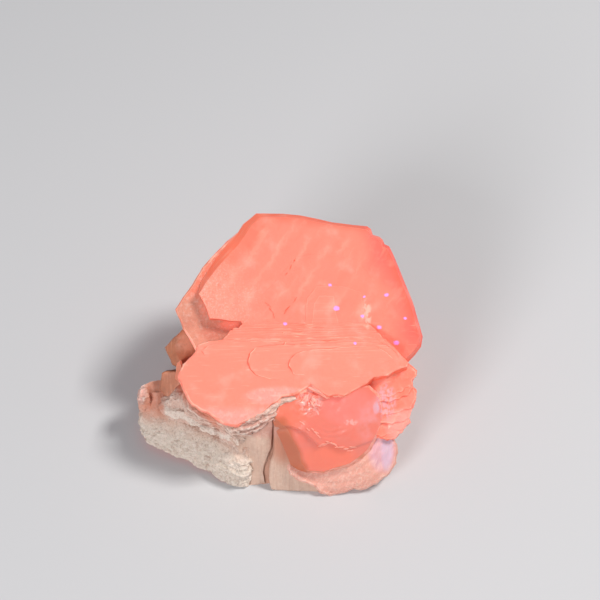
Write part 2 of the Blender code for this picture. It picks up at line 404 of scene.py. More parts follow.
def terrace_height(across, up):
    """Lumpy, and sinking as a bowl towards the pocket at (-20, -8)."""
    away = np.hypot((across + 20) / 6, (up + 8) / 3.5)
    return -2.9 - 1.3 * np.exp(-(away**2)) + 0.16 * swell(across, up, 1.8, 3, 2)


growths += [
    growth("great_crystal", slope, GREAT_EDGE, -8, great_height, (EDGE, EDGE, EDGE, FROSTED), GREAT_FACE,
           (2, -3), -2.6, layers=8, ragged=0.12, rings=23, spacing=0.78, seed=11),
    growth("terrace", slope, TERRACE_EDGE, -10.3, terrace_height, (EDGE, RIM, RIM, TERRACE),
           middle=(0, -2), layers=8, ragged=0.3, rings=30, bevel=0.35, spacing=0.8, seed=23),
]
for number, (rise, outline) in enumerate(HILLS):
    growths.append(
        growth(f"hill_{number + 1}", slope, outline, -2, lambda a, b, rise=rise: great_height(a, b) + rise,
               (FROSTED, FROSTED + 0.25 * number, FROSTED, FROSTED + 0.06 * number), layers=1, ragged=0.3,
               notch=2, bevel=0.3 - 0.08 * number, rings=14, seed=15 + number)
    )
MARKS = [[(-9.2, -0.8), (-6.7, -4.7)], [(-4.8, -4.2), (-1.4, 0.4)], [(-0.9, 11.6), (-3.9, 6.8)]]
for number, path in enumerate(MARKS):
    growths += splinter_line(f"mark_{number + 1}", slope, path, 3, (1.4, 2.6), (0.15, 0.35), 0.12,
                             lambda a, b: great_height(a, b) + 0.12, (0.02, 0.08), EDGE, 170 + 5 * number)
print("great crystal, terrace, hills and marks:", faces_since(0), "faces")

# %% [markdown]
# ## The plates behind
#
# Behind the great crystal the stack goes on: one more layer of it, a second and a third crystal and a
# smaller one at the back. They grew in the same direction, so they use the same board, lower down.
# Only small corners of them show from the front, on the left. Seven more plates with random corners
# fill the back, so that it steps down as a stack of crystals does.

# %% The plates behind
GREAT_BACK = [
    (-33, -4), (-28, 4.4), (-23, 11), (-19, 13.6), (-16.5, 17.4), (-14.2, 17.8), (-11.8, 21.6),
    (-4, 22.4), (1.2, 20.2), (3, 21.4), (10, 20.6), (15, 17.8), (19, 18.2), (22.5, 12.2), (24, 6.2),
    (27.4, 4), (28.6, -2), (31.2, -11), (26, -18), (16, -26), (-14, -26), (-29, -12),
]
SECOND_EDGE = [
    (-38.3, -13.4), (-35.6, -10.5), (-32.6, -7.8), (-31, -7), (-23, 3), (-17.4, 8), (-14, 12.6),
    (-8, 15), (-2.4, 13), (3, 14.6), (12, 12.4), (16.4, 8), (21, 7.4), (25.6, 0), (27.8, -7),
    (30.5, -14), (26, -24), (10, -34), (-20, -34), (-33, -22), (-34.4, -19.1), (-36, -18.3),
    (-37.3, -15.7),
]
THIRD_EDGE = [
    (-36, -24), (-33, -14), (-27.6, -3), (-22, -0.6), (-18, 6.6), (-9, 8.8), (-3, 6.8), (6, 8.6),
    (12, 3.6), (19, 2), (23, -7), (27, -10), (28, -22), (20, -32), (-10, -40), (-33, -35),
]
REAR_EDGE = [
    (-31, -21), (-27, -11), (-21, -9), (-17, -3), (-6, -2.2), (-1, 0.6), (8, -0.8), (13, -5.6),
    (18, -6), (22, -14), (25, -18), (24, -30), (-26, -32),
]
BACK_PLATES = [  # middle, radius, underside, face
    ((3, 5), 12.5, -17.5, -12), ((-16, -3), 13, -25, -18.5), ((15, -5), 13, -28, -22),
    ((-6, -3), 11.5, -31.5, -26), ((10, -12), 13.5, -38.5, -32.5), ((-17, -15), 10.5, -41, -34),
    ((19, -19), 10, -41, -33),
]
SMALL_BLOCK = [
    (-38.6, -20.2), (-37.9, -19.7), (-34.8, -19.4), (-32, -20), (-30, -24), (-30, -29), (-36, -29),
    (-39.3, -25), (-39, -22),
]
SALMON_STRIP = [
    (-34.5, -21.8), (-34.3, -18.6), (-33.9, -17.2), (-33, -16.6), (-32.4, -18.4), (-32.2, -21),
    (-33, -23),
]
RIDGE = -34.2  # how far across the second crystal's ridge is
BACK_CORNERS = 7


def second_height(across, up):
    """Two facets that meet in a ridge, and fall 0.75 and 0.16 per millimetre away from it."""
    left = RIDGE - across
    right = np.clip(-left, 0, 8)
    return -10.6 - 0.75 * np.maximum(left, 0) - 0.16 * right + 0.12 * swell(across, up, 2.4, 36, 2)


first = len(growths)
growths += [
    growth("great_back", slope, GREAT_BACK, -16.2, -9, (EDGE, RIM, RIM, FROSTED), layers=7, ragged=0.5,
           notch=2, spacing=0.9, rings=4, seed=31),
    growth("second_crystal", slope, SECOND_EDGE, -23, second_height, (BROWN, BROWN, BROWN, BROWN),
           middle=(-2, -8), layers=8, ragged=0.45, notch=2, spacing=0.9, rings=18, seed=37),
    growth("third_crystal", slope, THIRD_EDGE, -33, -20, (EDGE, RIM, RIM, FROSTED), layers=11, ragged=0.5,
           spacing=1.1, rings=4, seed=41),
    growth("rear_crystal", slope, REAR_EDGE, -44, -30, (EDGE, RIM, RIM, FROSTED), layers=11, ragged=0.5,
           spacing=1.2, rings=4, seed=43),
    growth("small_block", slope, SMALL_BLOCK, -19, lambda a, b: -8 + 0.25 * (a + 35), (BROWN,) * 4,
           layers=7, ragged=0.3, rings=10, spacing=0.4, rough=0.12, seed=47),
    growth("salmon_strip", slope, SALMON_STRIP, -10, lambda a, b: -3.2 + 0.5 * (a + 34), (FLANK,) * 4,
           layers=4, ragged=0.12, rings=5, spacing=0.4, bevel=0.15, seed=49),
]
draw = np.random.default_rng(201)
for number, (middle, radius, low, high) in enumerate(BACK_PLATES):
    turns = np.linspace(0, 2 * np.pi, BACK_CORNERS + 1)[:-1] + draw.uniform(-0.2, 0.2, BACK_CORNERS)
    arms = np.stack([np.cos(turns), np.sin(turns)], -1) * radius * draw.uniform(0.82, 1.0, (BACK_CORNERS, 1))
    growths.append(
        growth(f"back_plate_{number + 1}", slope, (arms + middle).tolist(), low, high,
               (EDGE + 0.2, RIM + 0.4, EDGE + 0.3, EDGE + 0.6), layers=5, ragged=0.5, notch=2, spacing=1.0,
               rings=3, seed=211 + number)
    )
print("plates behind:", faces_since(first), "faces")

# %% [markdown]
# ## The front plate and its sheets
#
# The front plate lies flatter than the great crystal and stands in front of it. Above it, thin sheets
# step down to the great face. On it lie more sheets that show only their upper left edges, because
# their faces sink into the plate to the right and lower down. Below its edge, ragged layers of the
# same growth stick out. All the outlines are drawn as they look from straight in front of the great
# face, so they are moved onto the flatter board first.

# %% Outlines moved onto the front board
TILT = math.radians(GREAT_LEAN - FRONT_LEAN)


def onto_front(outline, out=0.0):
    """From up the slope to up the front board: (up - middle - out * sin(tilt)) / cos(tilt)."""
    return [(a, (b - FRONT_MIDDLE[1] - out * math.sin(TILT)) / math.cos(TILT)) for a, b in outline]


FRONT_EDGE = [
    (-33.4, -21), (-33, -19.5), (-32, -17.5), (-30, -15.5), (-28.8, -14), (-28.2, -12.2),
    (-25.5, -11.2), (-21, -10.6), (-15, -10.2), (0, -9.8), (19, -9.9), (23.5, -10.5), (26, -12.8),
    (27.8, -14.8), (29.8, -17), (29.5, -18), (26, -19.2), (24, -20.4), (20.3, -21), (18.8, -22.4),
    (17, -23.4), (14.9, -24.6), (12.2, -26.1), (10.8, -25.8), (9.7, -25.9), (7.9, -26.2), (6, -25),
    (4.6, -23.6), (3.6, -22.6), (2.8, -23.3), (1.5, -24.5), (-1.5, -26), (-5, -26.2), (-6, -27.3),
    (-8, -28.3), (-9.7, -29.8), (-11.5, -31), (-14.2, -32.3), (-16, -33), (-17.4, -33.9),
    (-19.5, -33.8), (-21.5, -33), (-25, -30.5), (-27, -29.7), (-29.5, -28.2), (-30.5, -27),
    (-31.5, -25), (-32.5, -22.7),
]
STEPS = [  # how far out the face is, its left end, its upper edge at the left and right, its right end
    (-0.25, -21.6, -9.7, -9.5, 22.4), (-0.5, -20.9, -9.1, -9, 21.8), (-0.72, -6, -8.8, -8.6, 17),
    (-0.9, -20.5, -8.3, -8.3, 21), (-1.15, -19.6, -7.8, -7.5, 20.3), (-1.3, -2.5, -7.5, -7.2, 15),
    (-1.5, -17.7, -7.1, -6.8, 19.6), (-1.75, -17.2, -6.5, -6.2, 19), (-1.98, -16.7, -5.9, -5.5, 18.3),
]
OVER_SHEETS = [  # its height, how fast it sinks going down and going right, its upper edge, the rest
    (0.28, 0.1, 0.006, [
        (-27.2, -13.8), (-25.5, -12.4), (-21, -11.5), (-14, -11.1), (-4, -10.7), (10, -10.6),
        (22, -11),
    ], [
        (25, -13), (20, -19), (8, -21), (-12, -21), (-24, -20),
    ]),
    (0.66, 0.06, 0.008, [
        (-14.4, -16.9), (-13.9, -14.4), (-12.4, -12.9), (-9.1, -12.3), (-6, -12.1), (-1.8, -11.8),
        (5.5, -11.5), (20, -11.3),
    ], [
        (24, -12.1), (26.3, -14), (27.5, -16), (16, -20), (0, -22.4), (-8.2, -21.6), (-12.4, -20.3),
        (-13.6, -18.8),
    ]),
    (0.6, 0.3, 0.004, [
        (-4.4, -11.4), (-1.8, -11.1), (4, -10.8), (12, -10.6), (22, -10.8),
    ], [
        (25, -13.5), (15, -15.5), (0, -16), (-6, -14.2),
    ]),
    (0.86, 0.12, 0.01, [
        (-3.2, -16), (-1.8, -14.7), (0.9, -13.6), (5, -12.9), (12, -12.4), (21, -12.2),
    ], [
        (24.5, -14.3), (26, -16), (16, -19), (4, -20.8), (-2.2, -20.2), (-3.5, -17.8),
    ]),
]
UNDER_SHEETS = [  # its face and underside, and its outline
    (-1.6, -5, [
        (-31.4, -22), (-30.8, -19), (-29.8, -16.6), (-28, -15), (-10, -14), (0, -26.8), (-4.6, -28.8),
        (-8.4, -31), (-12.5, -33.4), (-19, -34.8), (-25, -31.6), (-30.2, -28.7),
    ]),
    (-3.6, -8, [
        (-32, -25), (-30.6, -20), (-10, -16), (-1, -28), (-5.4, -31.2), (-9.4, -33.6), (-13.4, -35.4),
        (-18.5, -36.4), (-24, -33.4), (-28, -32), (-31, -29.6),
    ]),
    (-5.4, -11, [
        (-33.4, -26.5), (-31, -20), (-8, -18), (-6.2, -31.5), (-8.8, -34.4), (-12.8, -36.6),
        (-18, -37.4), (-23, -34.8), (-28, -33), (-32, -30.4),
    ]),
]
BRINK = np.array([(-14.8, -15), (-14.2, -5.6), (-12.8, -4.6), (-7, -3.8), (0, -4.0), (3.5, -2.6)])
STEP_ROOT = [(26, -14), (22, -18)]  # the hidden lower end of every step


def front_height(across, up):
    """Flat above, drooping lower down as the square of the way, and lumpy and lower below the brink."""
    brink = np.interp(across, *BRINK.T)
    below = np.clip((brink - up) / 2.2, 0, 1)
    below = below * np.clip((across + 15.5) / 2, 0, 1) * np.clip((5 - across) / 2, 0, 1)
    lumps = 0.2 * swell(across, up, 2.4, 16) - 0.3
    return 0.1 * swell(across, up, 9.0, 6) - 0.012 * np.maximum(-up - 3, 0) ** 2 + below * lumps


def step_outline(left, high_left, high_right, right, seed):
    """A long sheet whose upper edge wanders a little between its two ends."""
    draw = np.random.default_rng(seed)
    across = np.linspace(left + 1.2, right, 12)
    along_edge = np.interp(across, [left, right], [high_left, high_right]) + draw.uniform(-0.25, 0.25, 12)
    upper = list(zip(across.tolist(), along_edge.tolist()))
    return [(left, -11.5), (left + 0.4, high_left - 0.9), *upper, *STEP_ROOT, (left + 1, -18)]


first = len(growths)
growths.append(
    growth("front_plate", front, onto_front(FRONT_EDGE), -6, front_height, (EDGE, RIM, RIM, FROSTED + 0.15),
           middle=(-2, 1.5), layers=5, ragged=0.3, notch=1.5, rings=26, spacing=0.5, bevel=0.3,
           rough=0.12, grain=1.3, seed=51)
)
for number, (out, *ends) in enumerate(STEPS):
    growths.append(
        growth(f"step_{number + 1}", front, onto_front(step_outline(*ends, 60 + number), out), out - 2.5, out,
               (EDGE, RIM, EDGE, FROSTED + 0.12 * (number % 2)), layers=2, ragged=0.2, notch=1.6, bevel=0.16,
               rings=4, seed=61 + number)
    )
for number, (out, down, right, upper, rest) in enumerate(OVER_SHEETS):
    brow = np.array(onto_front(upper, out))

    def sinking(a, b, out=out, down=down, right=right, brow=brow):
        """Over the plate along its upper edge, and into the plate below that and to the right."""
        depth = np.maximum(np.interp(a, *brow.T) - b, 0)
        return out + front_height(a, b) - down * depth - right * (a - brow[0, 0])

    growths.append(
        growth(f"over_sheet_{number + 1}", front, onto_front(upper + rest, out), -2, sinking,
               (EDGE, RIM, EDGE, FROSTED + 0.2), layers=1, ragged=0.35, notch=1.4, bevel=0.22, rings=9,
               seed=71 + number)
    )
for number, (out, low, outline) in enumerate(UNDER_SHEETS):
    growths.append(
        growth(f"under_sheet_{number + 1}", front, onto_front(outline, out), low, out, (PINK_CRUST,) * 4,
               layers=6, ragged=0.9, notch=1.4, bevel=0.3, rings=7, spacing=0.6, rough=0.35, grain=1.8,
               seed=81 + number)
    )
FRINGE = [
    (-31, -21), (-30.4, -24.5), (-29.6, -27.3), (-27.2, -29.3), (-25, -30.4), (-21.6, -33.1),
    (-19.6, -34.2), (-17.2, -34.3), (-15.6, -33.3), (-14, -32.6), (-11.3, -31.3), (-9.5, -30.1),
    (-7.8, -28.6), (-5.8, -27.6), (-4.8, -26.4), (-1.4, -26.3), (1.5, -24.9), (2.8, -23.7),
    (3.6, -23.1), (4.6, -24), (6, -25.4), (7.9, -26.6), (9.7, -26.3), (10.8, -26.1), (12.2, -26.4),
    (14.9, -24.9), (16, -22), (0, -18), (-28, -18),
]
growths.append(
    growth("fringe", front, onto_front(FRINGE, -0.9), -2.8, lambda a, b: front_height(a, b) - 0.9,
           (RIM, RIM, RIM, FROST), middle=(-5, 0), layers=3, ragged=0.5, notch=1.1, bevel=0.4, rings=5,
           spacing=0.4, rough=0.5, grain=1.2, seed=99)
)
print("front sheets:", faces_since(first), "faces")

# %% [markdown]
# ## The plates on the right
#
# Below the great crystal's right corner the edges of six more plates stick out, one over another.
# Their edges are more jagged than the big crystals', so their layers get deeper notches. A frosted
# lump lies beside the lowest, against the broken crystal.

# %% The right plates
RIGHT_PLATES = [  # underside, height of the face, and the outline
    (-8, 0.6, [
        (18, -14), (29.9, -17), (31.5, -18.2), (32.5, -19.4), (32.3, -20.6), (31.5, -22.1),
        (31.3, -23.4), (28.5, -25.5), (24, -27), (15, -26),
    ]),
    (-9, 0.45, [
        (18, -16), (30.6, -18.4), (31.6, -20.4), (31.2, -22.2), (31.5, -24.2), (30.3, -26.2),
        (27.5, -27.6), (24, -28.4), (15, -27),
    ]),
    (-12, -0.3, [
        (18, -20), (31, -23.2), (32.6, -24.6), (32.5, -26.5), (32, -28.2), (31.2, -30), (29.2, -30.6),
        (26.4, -31.8), (22, -32), (14, -30),
    ]),
    (-12, -0.5, [
        (18, -22), (30.6, -25.4), (31.9, -28.4), (31.1, -30.6), (30.4, -32.6), (27.9, -33.9),
        (25, -34.4), (22, -34), (14, -30),
    ]),
    (-13, -1.3, [
        (16, -26), (29.8, -31.6), (31, -33.7), (29.3, -35.4), (28.4, -36.3), (26.9, -36.7),
        (24.6, -37.4), (22, -38), (16, -36),
    ]),
    (-13, -1.7, [
        (16, -28), (28.8, -33.2), (28.9, -35.9), (26.5, -38.3), (24, -39), (16, -37),
    ]),
]
first = len(growths)
for number, (low, out, outline) in enumerate(RIGHT_PLATES):

    def face(a, b, out=out, seed=number):
        """Lumpy, and a little lower towards the right."""
        return out - 0.09 * (a - 28) + 0.25 * swell(a, b, 2.6, 92 + seed, 2)

    growths.append(
        growth(f"right_plate_{number + 1}", slope, outline, low, face,
               (EDGE + 0.4, RIM + 0.4, EDGE + 0.5, EDGE + 0.8), layers=7, ragged=0.6, notch=1.3, bevel=0.3,
               rings=12, spacing=0.45, rough=0.14, grain=1.3, seed=91 + number)
    )
FROST_LUMP = [
    (22.6, -33.4), (23, -32), (24.6, -31.6), (26, -32.6), (26.6, -34), (26, -35.6), (24, -36.4),
]
growths.append(
    growth("frost_lump", slope, FROST_LUMP, -6, -0.8, (RIM, RIM, RIM, FROST), layers=2, ragged=0.12,
           bevel=1.0, rings=9, spacing=0.3, rough=0.35, grain=1.8, seed=97)
)
print("right plates:", faces_since(first), "faces")

# %% [markdown]
# ## The broken crystal
#
# Under the front plate's edge is a crystal that has lost its point. Where calcite doesn't split along
# a flat plane it breaks in smooth curved shells, like thick glass. Its face is the lowest of several
# planes with their creases rounded. A crack steps down across it, pale splinters stand along the
# crack, and a rough chip marks where the break started. Its left flank falls to the wall below.

# %% The broken crystal
BROKEN_EDGE = [
    (-7.4, -31), (-7.4, -33.5), (-6.5, -36), (-5.2, -38.8), (-3.4, -43.4), (-2.5, -45.8),
    (-0.8, -47.2), (1.5, -47.8), (6.6, -48.2), (9.5, -47.2), (14, -45.9), (16.8, -44), (19.3, -41.8),
    (21.4, -37.8), (23.3, -33.6), (23.6, -30.6), (22.5, -26.4), (19, -23.2), (10, -23.2), (0, -22.8),
    (-5, -26),
]
BROKEN_FACE = [
    (-6.6, -31), (-6.4, -32.4), (-3.4, -35.2), (-1.6, -38.8), (0, -41.9), (0.4, -44.7), (1.9, -46.8),
    (6.6, -47.2), (9.2, -46.2), (13.6, -44.9), (16.2, -43.1), (18.4, -41.2), (20.5, -37.4),
    (22.3, -33.4), (22.6, -30.6), (21.6, -26.8), (18.4, -23.7), (10, -23.6), (0, -23.2), (-4.4, -26.3),
]
CRACK = np.array([(-2, -34.3), (1.2, -35.8), (5.4, -39.6), (8.2, -38.6), (10.9, -40.2), (12.7, -40.6),
                  (15.2, -40), (21, -38)])


def lowest(planes, rounding):
    """A soft minimum: -r * log(sum of exp(-p / r)), which is the least plane with rounded creases."""
    stack = np.stack(planes)
    least = stack.min(0)
    return least - rounding * np.log(np.exp(-(stack - least) / rounding).sum(0))


def broken_height(across, up):
    """The lowest of four planes, less a step below the crack, with a chip and shell-shaped ripples."""
    upper = 3.1 + 0.18 * (up + 38.5) + 0.1 * np.sin(across * 0.5)
    lower = 3.0 + 0.6 * (up + 38.8) - 0.02 * (across - 8)
    right = 5.2 - 0.6 * (across - 14.5) + 0.22 * (up + 30)
    low_right = 2.1 - 0.6 * (across - 15.2) + 0.75 * (up + 40)
    height = lowest([upper, lower, right, low_right], 0.35)
    below = np.clip((np.interp(across, *CRACK.T) - up) / 0.5, 0, 1)
    height -= 0.9 * below * np.exp(-np.maximum(-up - 40, 0) / 6)
    chip = np.exp(-(((across - 3) / 3.3) ** 2 + ((up + 27) / 4.0) ** 2) ** 2)
    height += chip * (1.1 * swell(across, up, 1.9, 7, 3) - 0.6)
    away = np.hypot(across - 9, (up + 27) * 1.05) + 0.5 * swell(across, up, 4.0, 17)
    ripple = np.exp(-(((away - 10.5) / 2.2) ** 2)) * (up < -31)
    ripple = ripple * np.clip(swell(across, up, 5.0, 18) + 0.4, 0, 1)
    return height + 0.12 * ripple * np.sin(away * 4.5) + 0.2 * swell(across, up, 4.0, 8, 3)


def broken_start(across, up):
    """Where the flank starts: at the wall's face, or just under the crystal's own face."""
    return np.minimum(2.9 + 0.61 * (up + 34.5), broken_height(across, up) - 0.9)


first = len(growths)
growths.append(
    growth("broken_crystal", slope, BROKEN_EDGE, -12, broken_height, (FLANK, FLANK, FLANK, CLEAR),
           BROKEN_FACE, (8, -33), broken_start, layers=4, ragged=0.1, rings=44, spacing=0.44, seed=101)
)
UPPER_CRACK = [(0, -32.5), (2.1, -35), (6.2, -37.4)]
CHIP = [(0.9, -28.6), (2.4, -26.2), (3.4, -28.6), (4.8, -26)]
SLIVERS = [  # its name, path and how many; their lengths, widths, scatter, rises, finish and seed
    ("crack", CRACK[2:-1], 9, (1.4, 3.2), (0.25, 0.6), 0.35, (0.1, 0.4), FROST + 0.45, 121),
    ("upper_crack", UPPER_CRACK, 6, (1.0, 2.4), (0.25, 0.5), 0.35, (0.05, 0.3), FROST + 0.5, 141),
    ("chip", CHIP, 7, (1.0, 2.6), (0.3, 0.6), 0.5, (0.0, 0.3), FROST, 151),
]
for name, path, count, lengths, widths, scatter, rises, finish, seed in SLIVERS:
    growths += splinter_line(name, slope, path, count, lengths, widths, scatter, broken_height, rises,
                             finish, seed)
print("broken crystal and splinters:", faces_since(first), "faces")

# %% [markdown]
# ## The foot: a striped wall, a shoulder and a pale plate
#
# Under the broken crystal is a pale plate, its surface curved like the inside of a shell. To its left
# stands a smooth striped wall, then a crack, then a shoulder that leans back the same way. Only the
# crack parts them: hairline above, and open below, where the face inside it is painted darker as
# painted shade. All are drawn on the slope, because that is where they face.

# %% The wall, the shoulder and the pale plate
WALL_EDGE = [
    (-7.3, -32), (-5.2, -32.4), (-1, -37), (0, -43), (0.6, -47), (4.6, -51.2), (6, -53.6), (2, -53.5),
    (-0.1, -53.4), (-5.1, -53.1), (-7.9, -52.7), (-8.3, -51.6), (-8.7, -49.6), (-8.6, -46.5),
    (-8.2, -44.4), (-7.5, -42.4), (-7.2, -40.5), (-7.2, -36),
]
SHOULDER_EDGE = [
    (-17.5, -40.5), (-15.2, -44), (-14.8, -52.4), (-12.4, -51.7), (-10.7, -51.1), (-9.7, -51.2),
    (-10.2, -48), (-9.8, -46), (-8.4, -43), (-7.6, -40.5), (-7.45, -36.2), (-7.2, -34), (-7.6, -31),
    (-11, -30), (-16, -34), (-19.5, -38),
]
CREVICE_EDGE = [(-11.4, -51.4), (-6.6, -52.6), (-6, -34), (-10.4, -34)]
PALE_EDGE = [
    (-3.9, -45.5), (-3.8, -46.8), (-3, -48.6), (0.2, -50.5), (4, -52), (5.6, -53.8), (8.3, -54.7),
    (12.8, -53.8), (15, -52.6), (16.7, -53.1), (18.9, -52.6), (21.7, -50.9), (25.1, -48.1),
    (26.8, -45.3), (27.4, -42.5), (27.2, -40.3), (26.4, -38.5), (25.2, -36), (24, -32), (20, -26),
    (4, -28), (-2, -38),
]


def wall_height(across, up):
    """A leaning plane with upright ripples."""
    return 2.6 + 0.61 * (up + 34.5) + 0.16 * swell(across * 2.2, up * 0.25, 2.4, 9, 3)


def shoulder_height(across, up):
    """A steeper plane with soft folds."""
    return 3.0 + 0.7 * (up + 33) + 0.6 * swell(across, up * 0.6, 3.6, 19, 4)


def pale_height(across, up):
    """A gentle slope with a ridge near its right edge, rolled over at the front, with shell ripples.

    Its left edge curls up as a lip, highest at the edge.
    """
    away = np.hypot(across - 9, up + 32)
    past = (across + 3.2) * 0.62 + (up + 46.5) * 0.78
    lip = 0.7 * np.exp(-((past / 1.1) ** 2))
    roll = 0.05 * np.maximum(-up - 49 + 0.18 * np.maximum(across - 12, 0), 0) ** 2
    ridge = 0.4 * np.maximum(across - 22.6, 0) - 0.5 * np.exp(-(((across - 22.6) / 1.5) ** 2))
    ripples = 0.08 * np.sin(away * 2.6) + 0.22 * swell(across, up, 4.0, 10, 3)
    return -4.5 + 0.2 * (up + 47) - roll - ridge + ripples + lip


first = len(growths)
growths += [
    growth("striped_wall", slope, WALL_EDGE, -20, wall_height, (WALL,) * 4, middle=(-4.2, -43),
           layers=4, ragged=0.05, bevel=0.4, rings=22, spacing=0.4, seed=103),
    growth("shoulder", slope, SHOULDER_EDGE, -20, shoulder_height, (WALL,) * 4, middle=(-12, -42),
           layers=4, ragged=0.05, bevel=0.5, rings=24, spacing=0.4, rough=0.1, grain=2.0, seed=105),
    growth("crevice", slope, CREVICE_EDGE, -20, lambda a, b: shoulder_height(a, b) - 0.9, (CREVICE,) * 4,
           layers=2, rings=6, spacing=0.8, seed=106),
    growth("pale_plate", slope, PALE_EDGE, -16, pale_height, (FOOT,) * 4, middle=(12, -41),
           layers=7, ragged=0.55, notch=1.6, bevel=0.5, rings=32, spacing=0.5, rough=0.14, grain=1.3,
           seed=107),
]
print("wall, shoulder, crevice and pale plate:", faces_since(first), "faces")

# %% [markdown]
# ## The rough mass on the left, and the back of the foot
#
# The mass on the lower left broke from the rock in crumbly level layers, and so did the back of the
# foot. Their sides are the part that shows, so they are drawn as outlines on the ground at several
# heights, and the side is the blend from each to the next. Noise that is four times flatter than it
# is wide makes the level layers, and rounding part of it to steps makes small ledges. On the lower
# block stands an upper one, and between them sticks out a frill, the edge of one hard layer.

# %% A crag


def crag(name, sections, top, finish, middle, rows, ledges=0.6, rough=0.5, grain=2.4,
         calm=(90, 99, 1.0), rings=12, spacing=0.45, seed=1):
    """A rough block.

    sections is a list of (height, outline), low to high. top is how much higher the middle of its top
    is. ledges is how deep the level layers are cut, and rough how far the skin is pushed by noise of
    the size grain. calm is (from, to, share): between those heights the roughness falls to the share.
    """
    middle = np.array(middle, float)
    levels = np.array([height for height, _ in sections], float)
    angles = cut_angles([outline for _, outline in sections], middle, spacing)
    ray = np.stack([np.cos(angles), np.sin(angles)], -1)
    reaches = np.stack([reach(outline, middle, angles) for _, outline in sections])
    heights = np.linspace(levels[0], levels[-1], rows)
    part = np.interp(heights, levels, np.arange(len(levels)))
    under = np.minimum(part.astype(int), len(levels) - 2)
    mix = (part - under)[:, None]
    radii = reaches[under] * (1 - mix) + reaches[under + 1] * mix
    share = np.interp(heights, calm[:2], (1.0, calm[2]))[:, None]
    tall = np.broadcast_to(heights[:, None, None], (*radii.shape, 1))
    layered = noise(np.concatenate([ray * radii[..., None], tall], -1) * (1, 1, 4), 3.2, seed, 2)
    radii = radii + ledges * share * (np.round(layered * 4) / 4 * 0.6 + layered * 0.4 - 0.3)
    side = np.concatenate([middle + ray * radii[..., None], tall], -1)
    shrink = np.linspace(1, 0, rings + 1)[1:-1, None]
    cap = middle + ray * (radii[-1] * shrink)[..., None]
    lumps = 0.5 * (1 - shrink**2) * swell(cap[..., 0], cap[..., 1], 3.0, seed, 3)
    lumps = levels[-1] + (1 - shrink**4) * top + lumps
    underside = (side[:1] - (*middle, 0)) * (0.6, 0.6, 1) + (*middle, 0)
    points = ground.place(np.concatenate([underside, side, np.concatenate([cap, lumps[..., None]], -1)]))
    bumps = noise(points, grain, seed + 1, 3) + 1.0 * np.abs(noise(points, grain * 0.7, seed + 2, 2)) - 0.4
    share = np.concatenate([share[:1], share, np.full((rings - 1, 1), calm[2])])
    points += skin_normals(points) * (rough * share * bumps)[..., None]
    return closed_mesh(name, points, [finish] * (rows + rings + 1))


def drawn_in(outline, middle, by):
    """Each corner moved towards the middle by the same distance."""
    arms = np.array(outline, float) - middle
    return (middle + arms * (1 - by / np.hypot(*arms.T)[:, None])).tolist()


LOWER_FOOT = [
    (-45.6, -13.6), (-45.1, -17.4), (-43.5, -20), (-40.5, -22), (-35, -24.5), (-30, -27), (-25, -29.3),
    (-21, -32.2), (-16.5, -34.2), (-14.2, -33.8), (-12.8, -31), (-12, -24), (-12, -6), (-36, -6),
    (-39.5, -9.8), (-43, -10),
]
LOWER_BROW = [
    (-45, -13.4), (-44, -16.6), (-42.2, -18.6), (-39.2, -20.6), (-34.2, -22.9), (-29.4, -25.3),
    (-24.7, -27.4), (-20.6, -30.4), (-16.2, -32.6), (-13.8, -32.2), (-12.4, -29), (-12, -22),
    (-12, -6), (-36, -6), (-39.5, -9.4), (-42.4, -9.8),
]
LOWER_TOP = [
    (-43.4, -12.8), (-42.2, -14.6), (-40.4, -15.8), (-37.2, -16.8), (-32.6, -18.8), (-28, -21.2),
    (-23.5, -23.3), (-19.5, -26.3), (-15.6, -29.6), (-13.2, -29.2), (-12, -26), (-12, -20), (-12, -6),
    (-36, -6), (-39, -8.6), (-41.5, -9.4),
]
UPPER_FOOT = [
    (-38.2, -15), (-38.9, -17.4), (-37.9, -19), (-35.7, -19.9), (-32.1, -21.5), (-28.1, -23.6),
    (-23.6, -26), (-19.6, -28.5), (-17.2, -29.6), (-15.6, -28.6), (-14, -26), (-12, -20), (-12, -4),
    (-30, -4), (-36.5, -11.5),
]
LEFT_LUMP = [
    (-45.2, -10.9), (-45.4, -13), (-45, -15.2), (-43.4, -15.8), (-41.8, -15.2), (-41.7, -12.4),
    (-42.8, -10.4),
]
SADDLE = [
    (-44.6, -10.8), (-45.3, -15), (-44.8, -17.6), (-42.6, -19.2), (-40, -20), (-37.4, -19.8),
    (-35, -17), (-34, -8), (-39.6, -8.4), (-42.2, -9.4),
]
SADDLE_TOP = [
    (-44.4, -10.4), (-44.6, -12), (-42.6, -12.8), (-39.8, -13), (-37.4, -12.8), (-35, -12.2),
    (-34, -8), (-39.6, -8.4), (-42, -9.2),
]
BACK_FOOT = [
    (-8.6, -24), (-4, -28), (10, -28), (22, -24), (26, -16), (27, 5), (22, 18), (16, 24), (4, 22),
    (-8, 25), (-20, 24), (-27, 16), (-31, 7), (-18, -8),
]
LOWER_MIDDLE = (-27, -17)
UPPER_MIDDLE = (-24, -17)
LUMP_MIDDLE = (-43.4, -13)
SADDLE_MIDDLE = (-39.4, -11.5)
BACK_MIDDLE = (0, -2)


def drawn_sections(outline, middle, sections):
    """One outline at several heights, at each drawn in by its own distance."""
    return [(height, drawn_in(outline, middle, by) if by else outline) for height, by in sections]


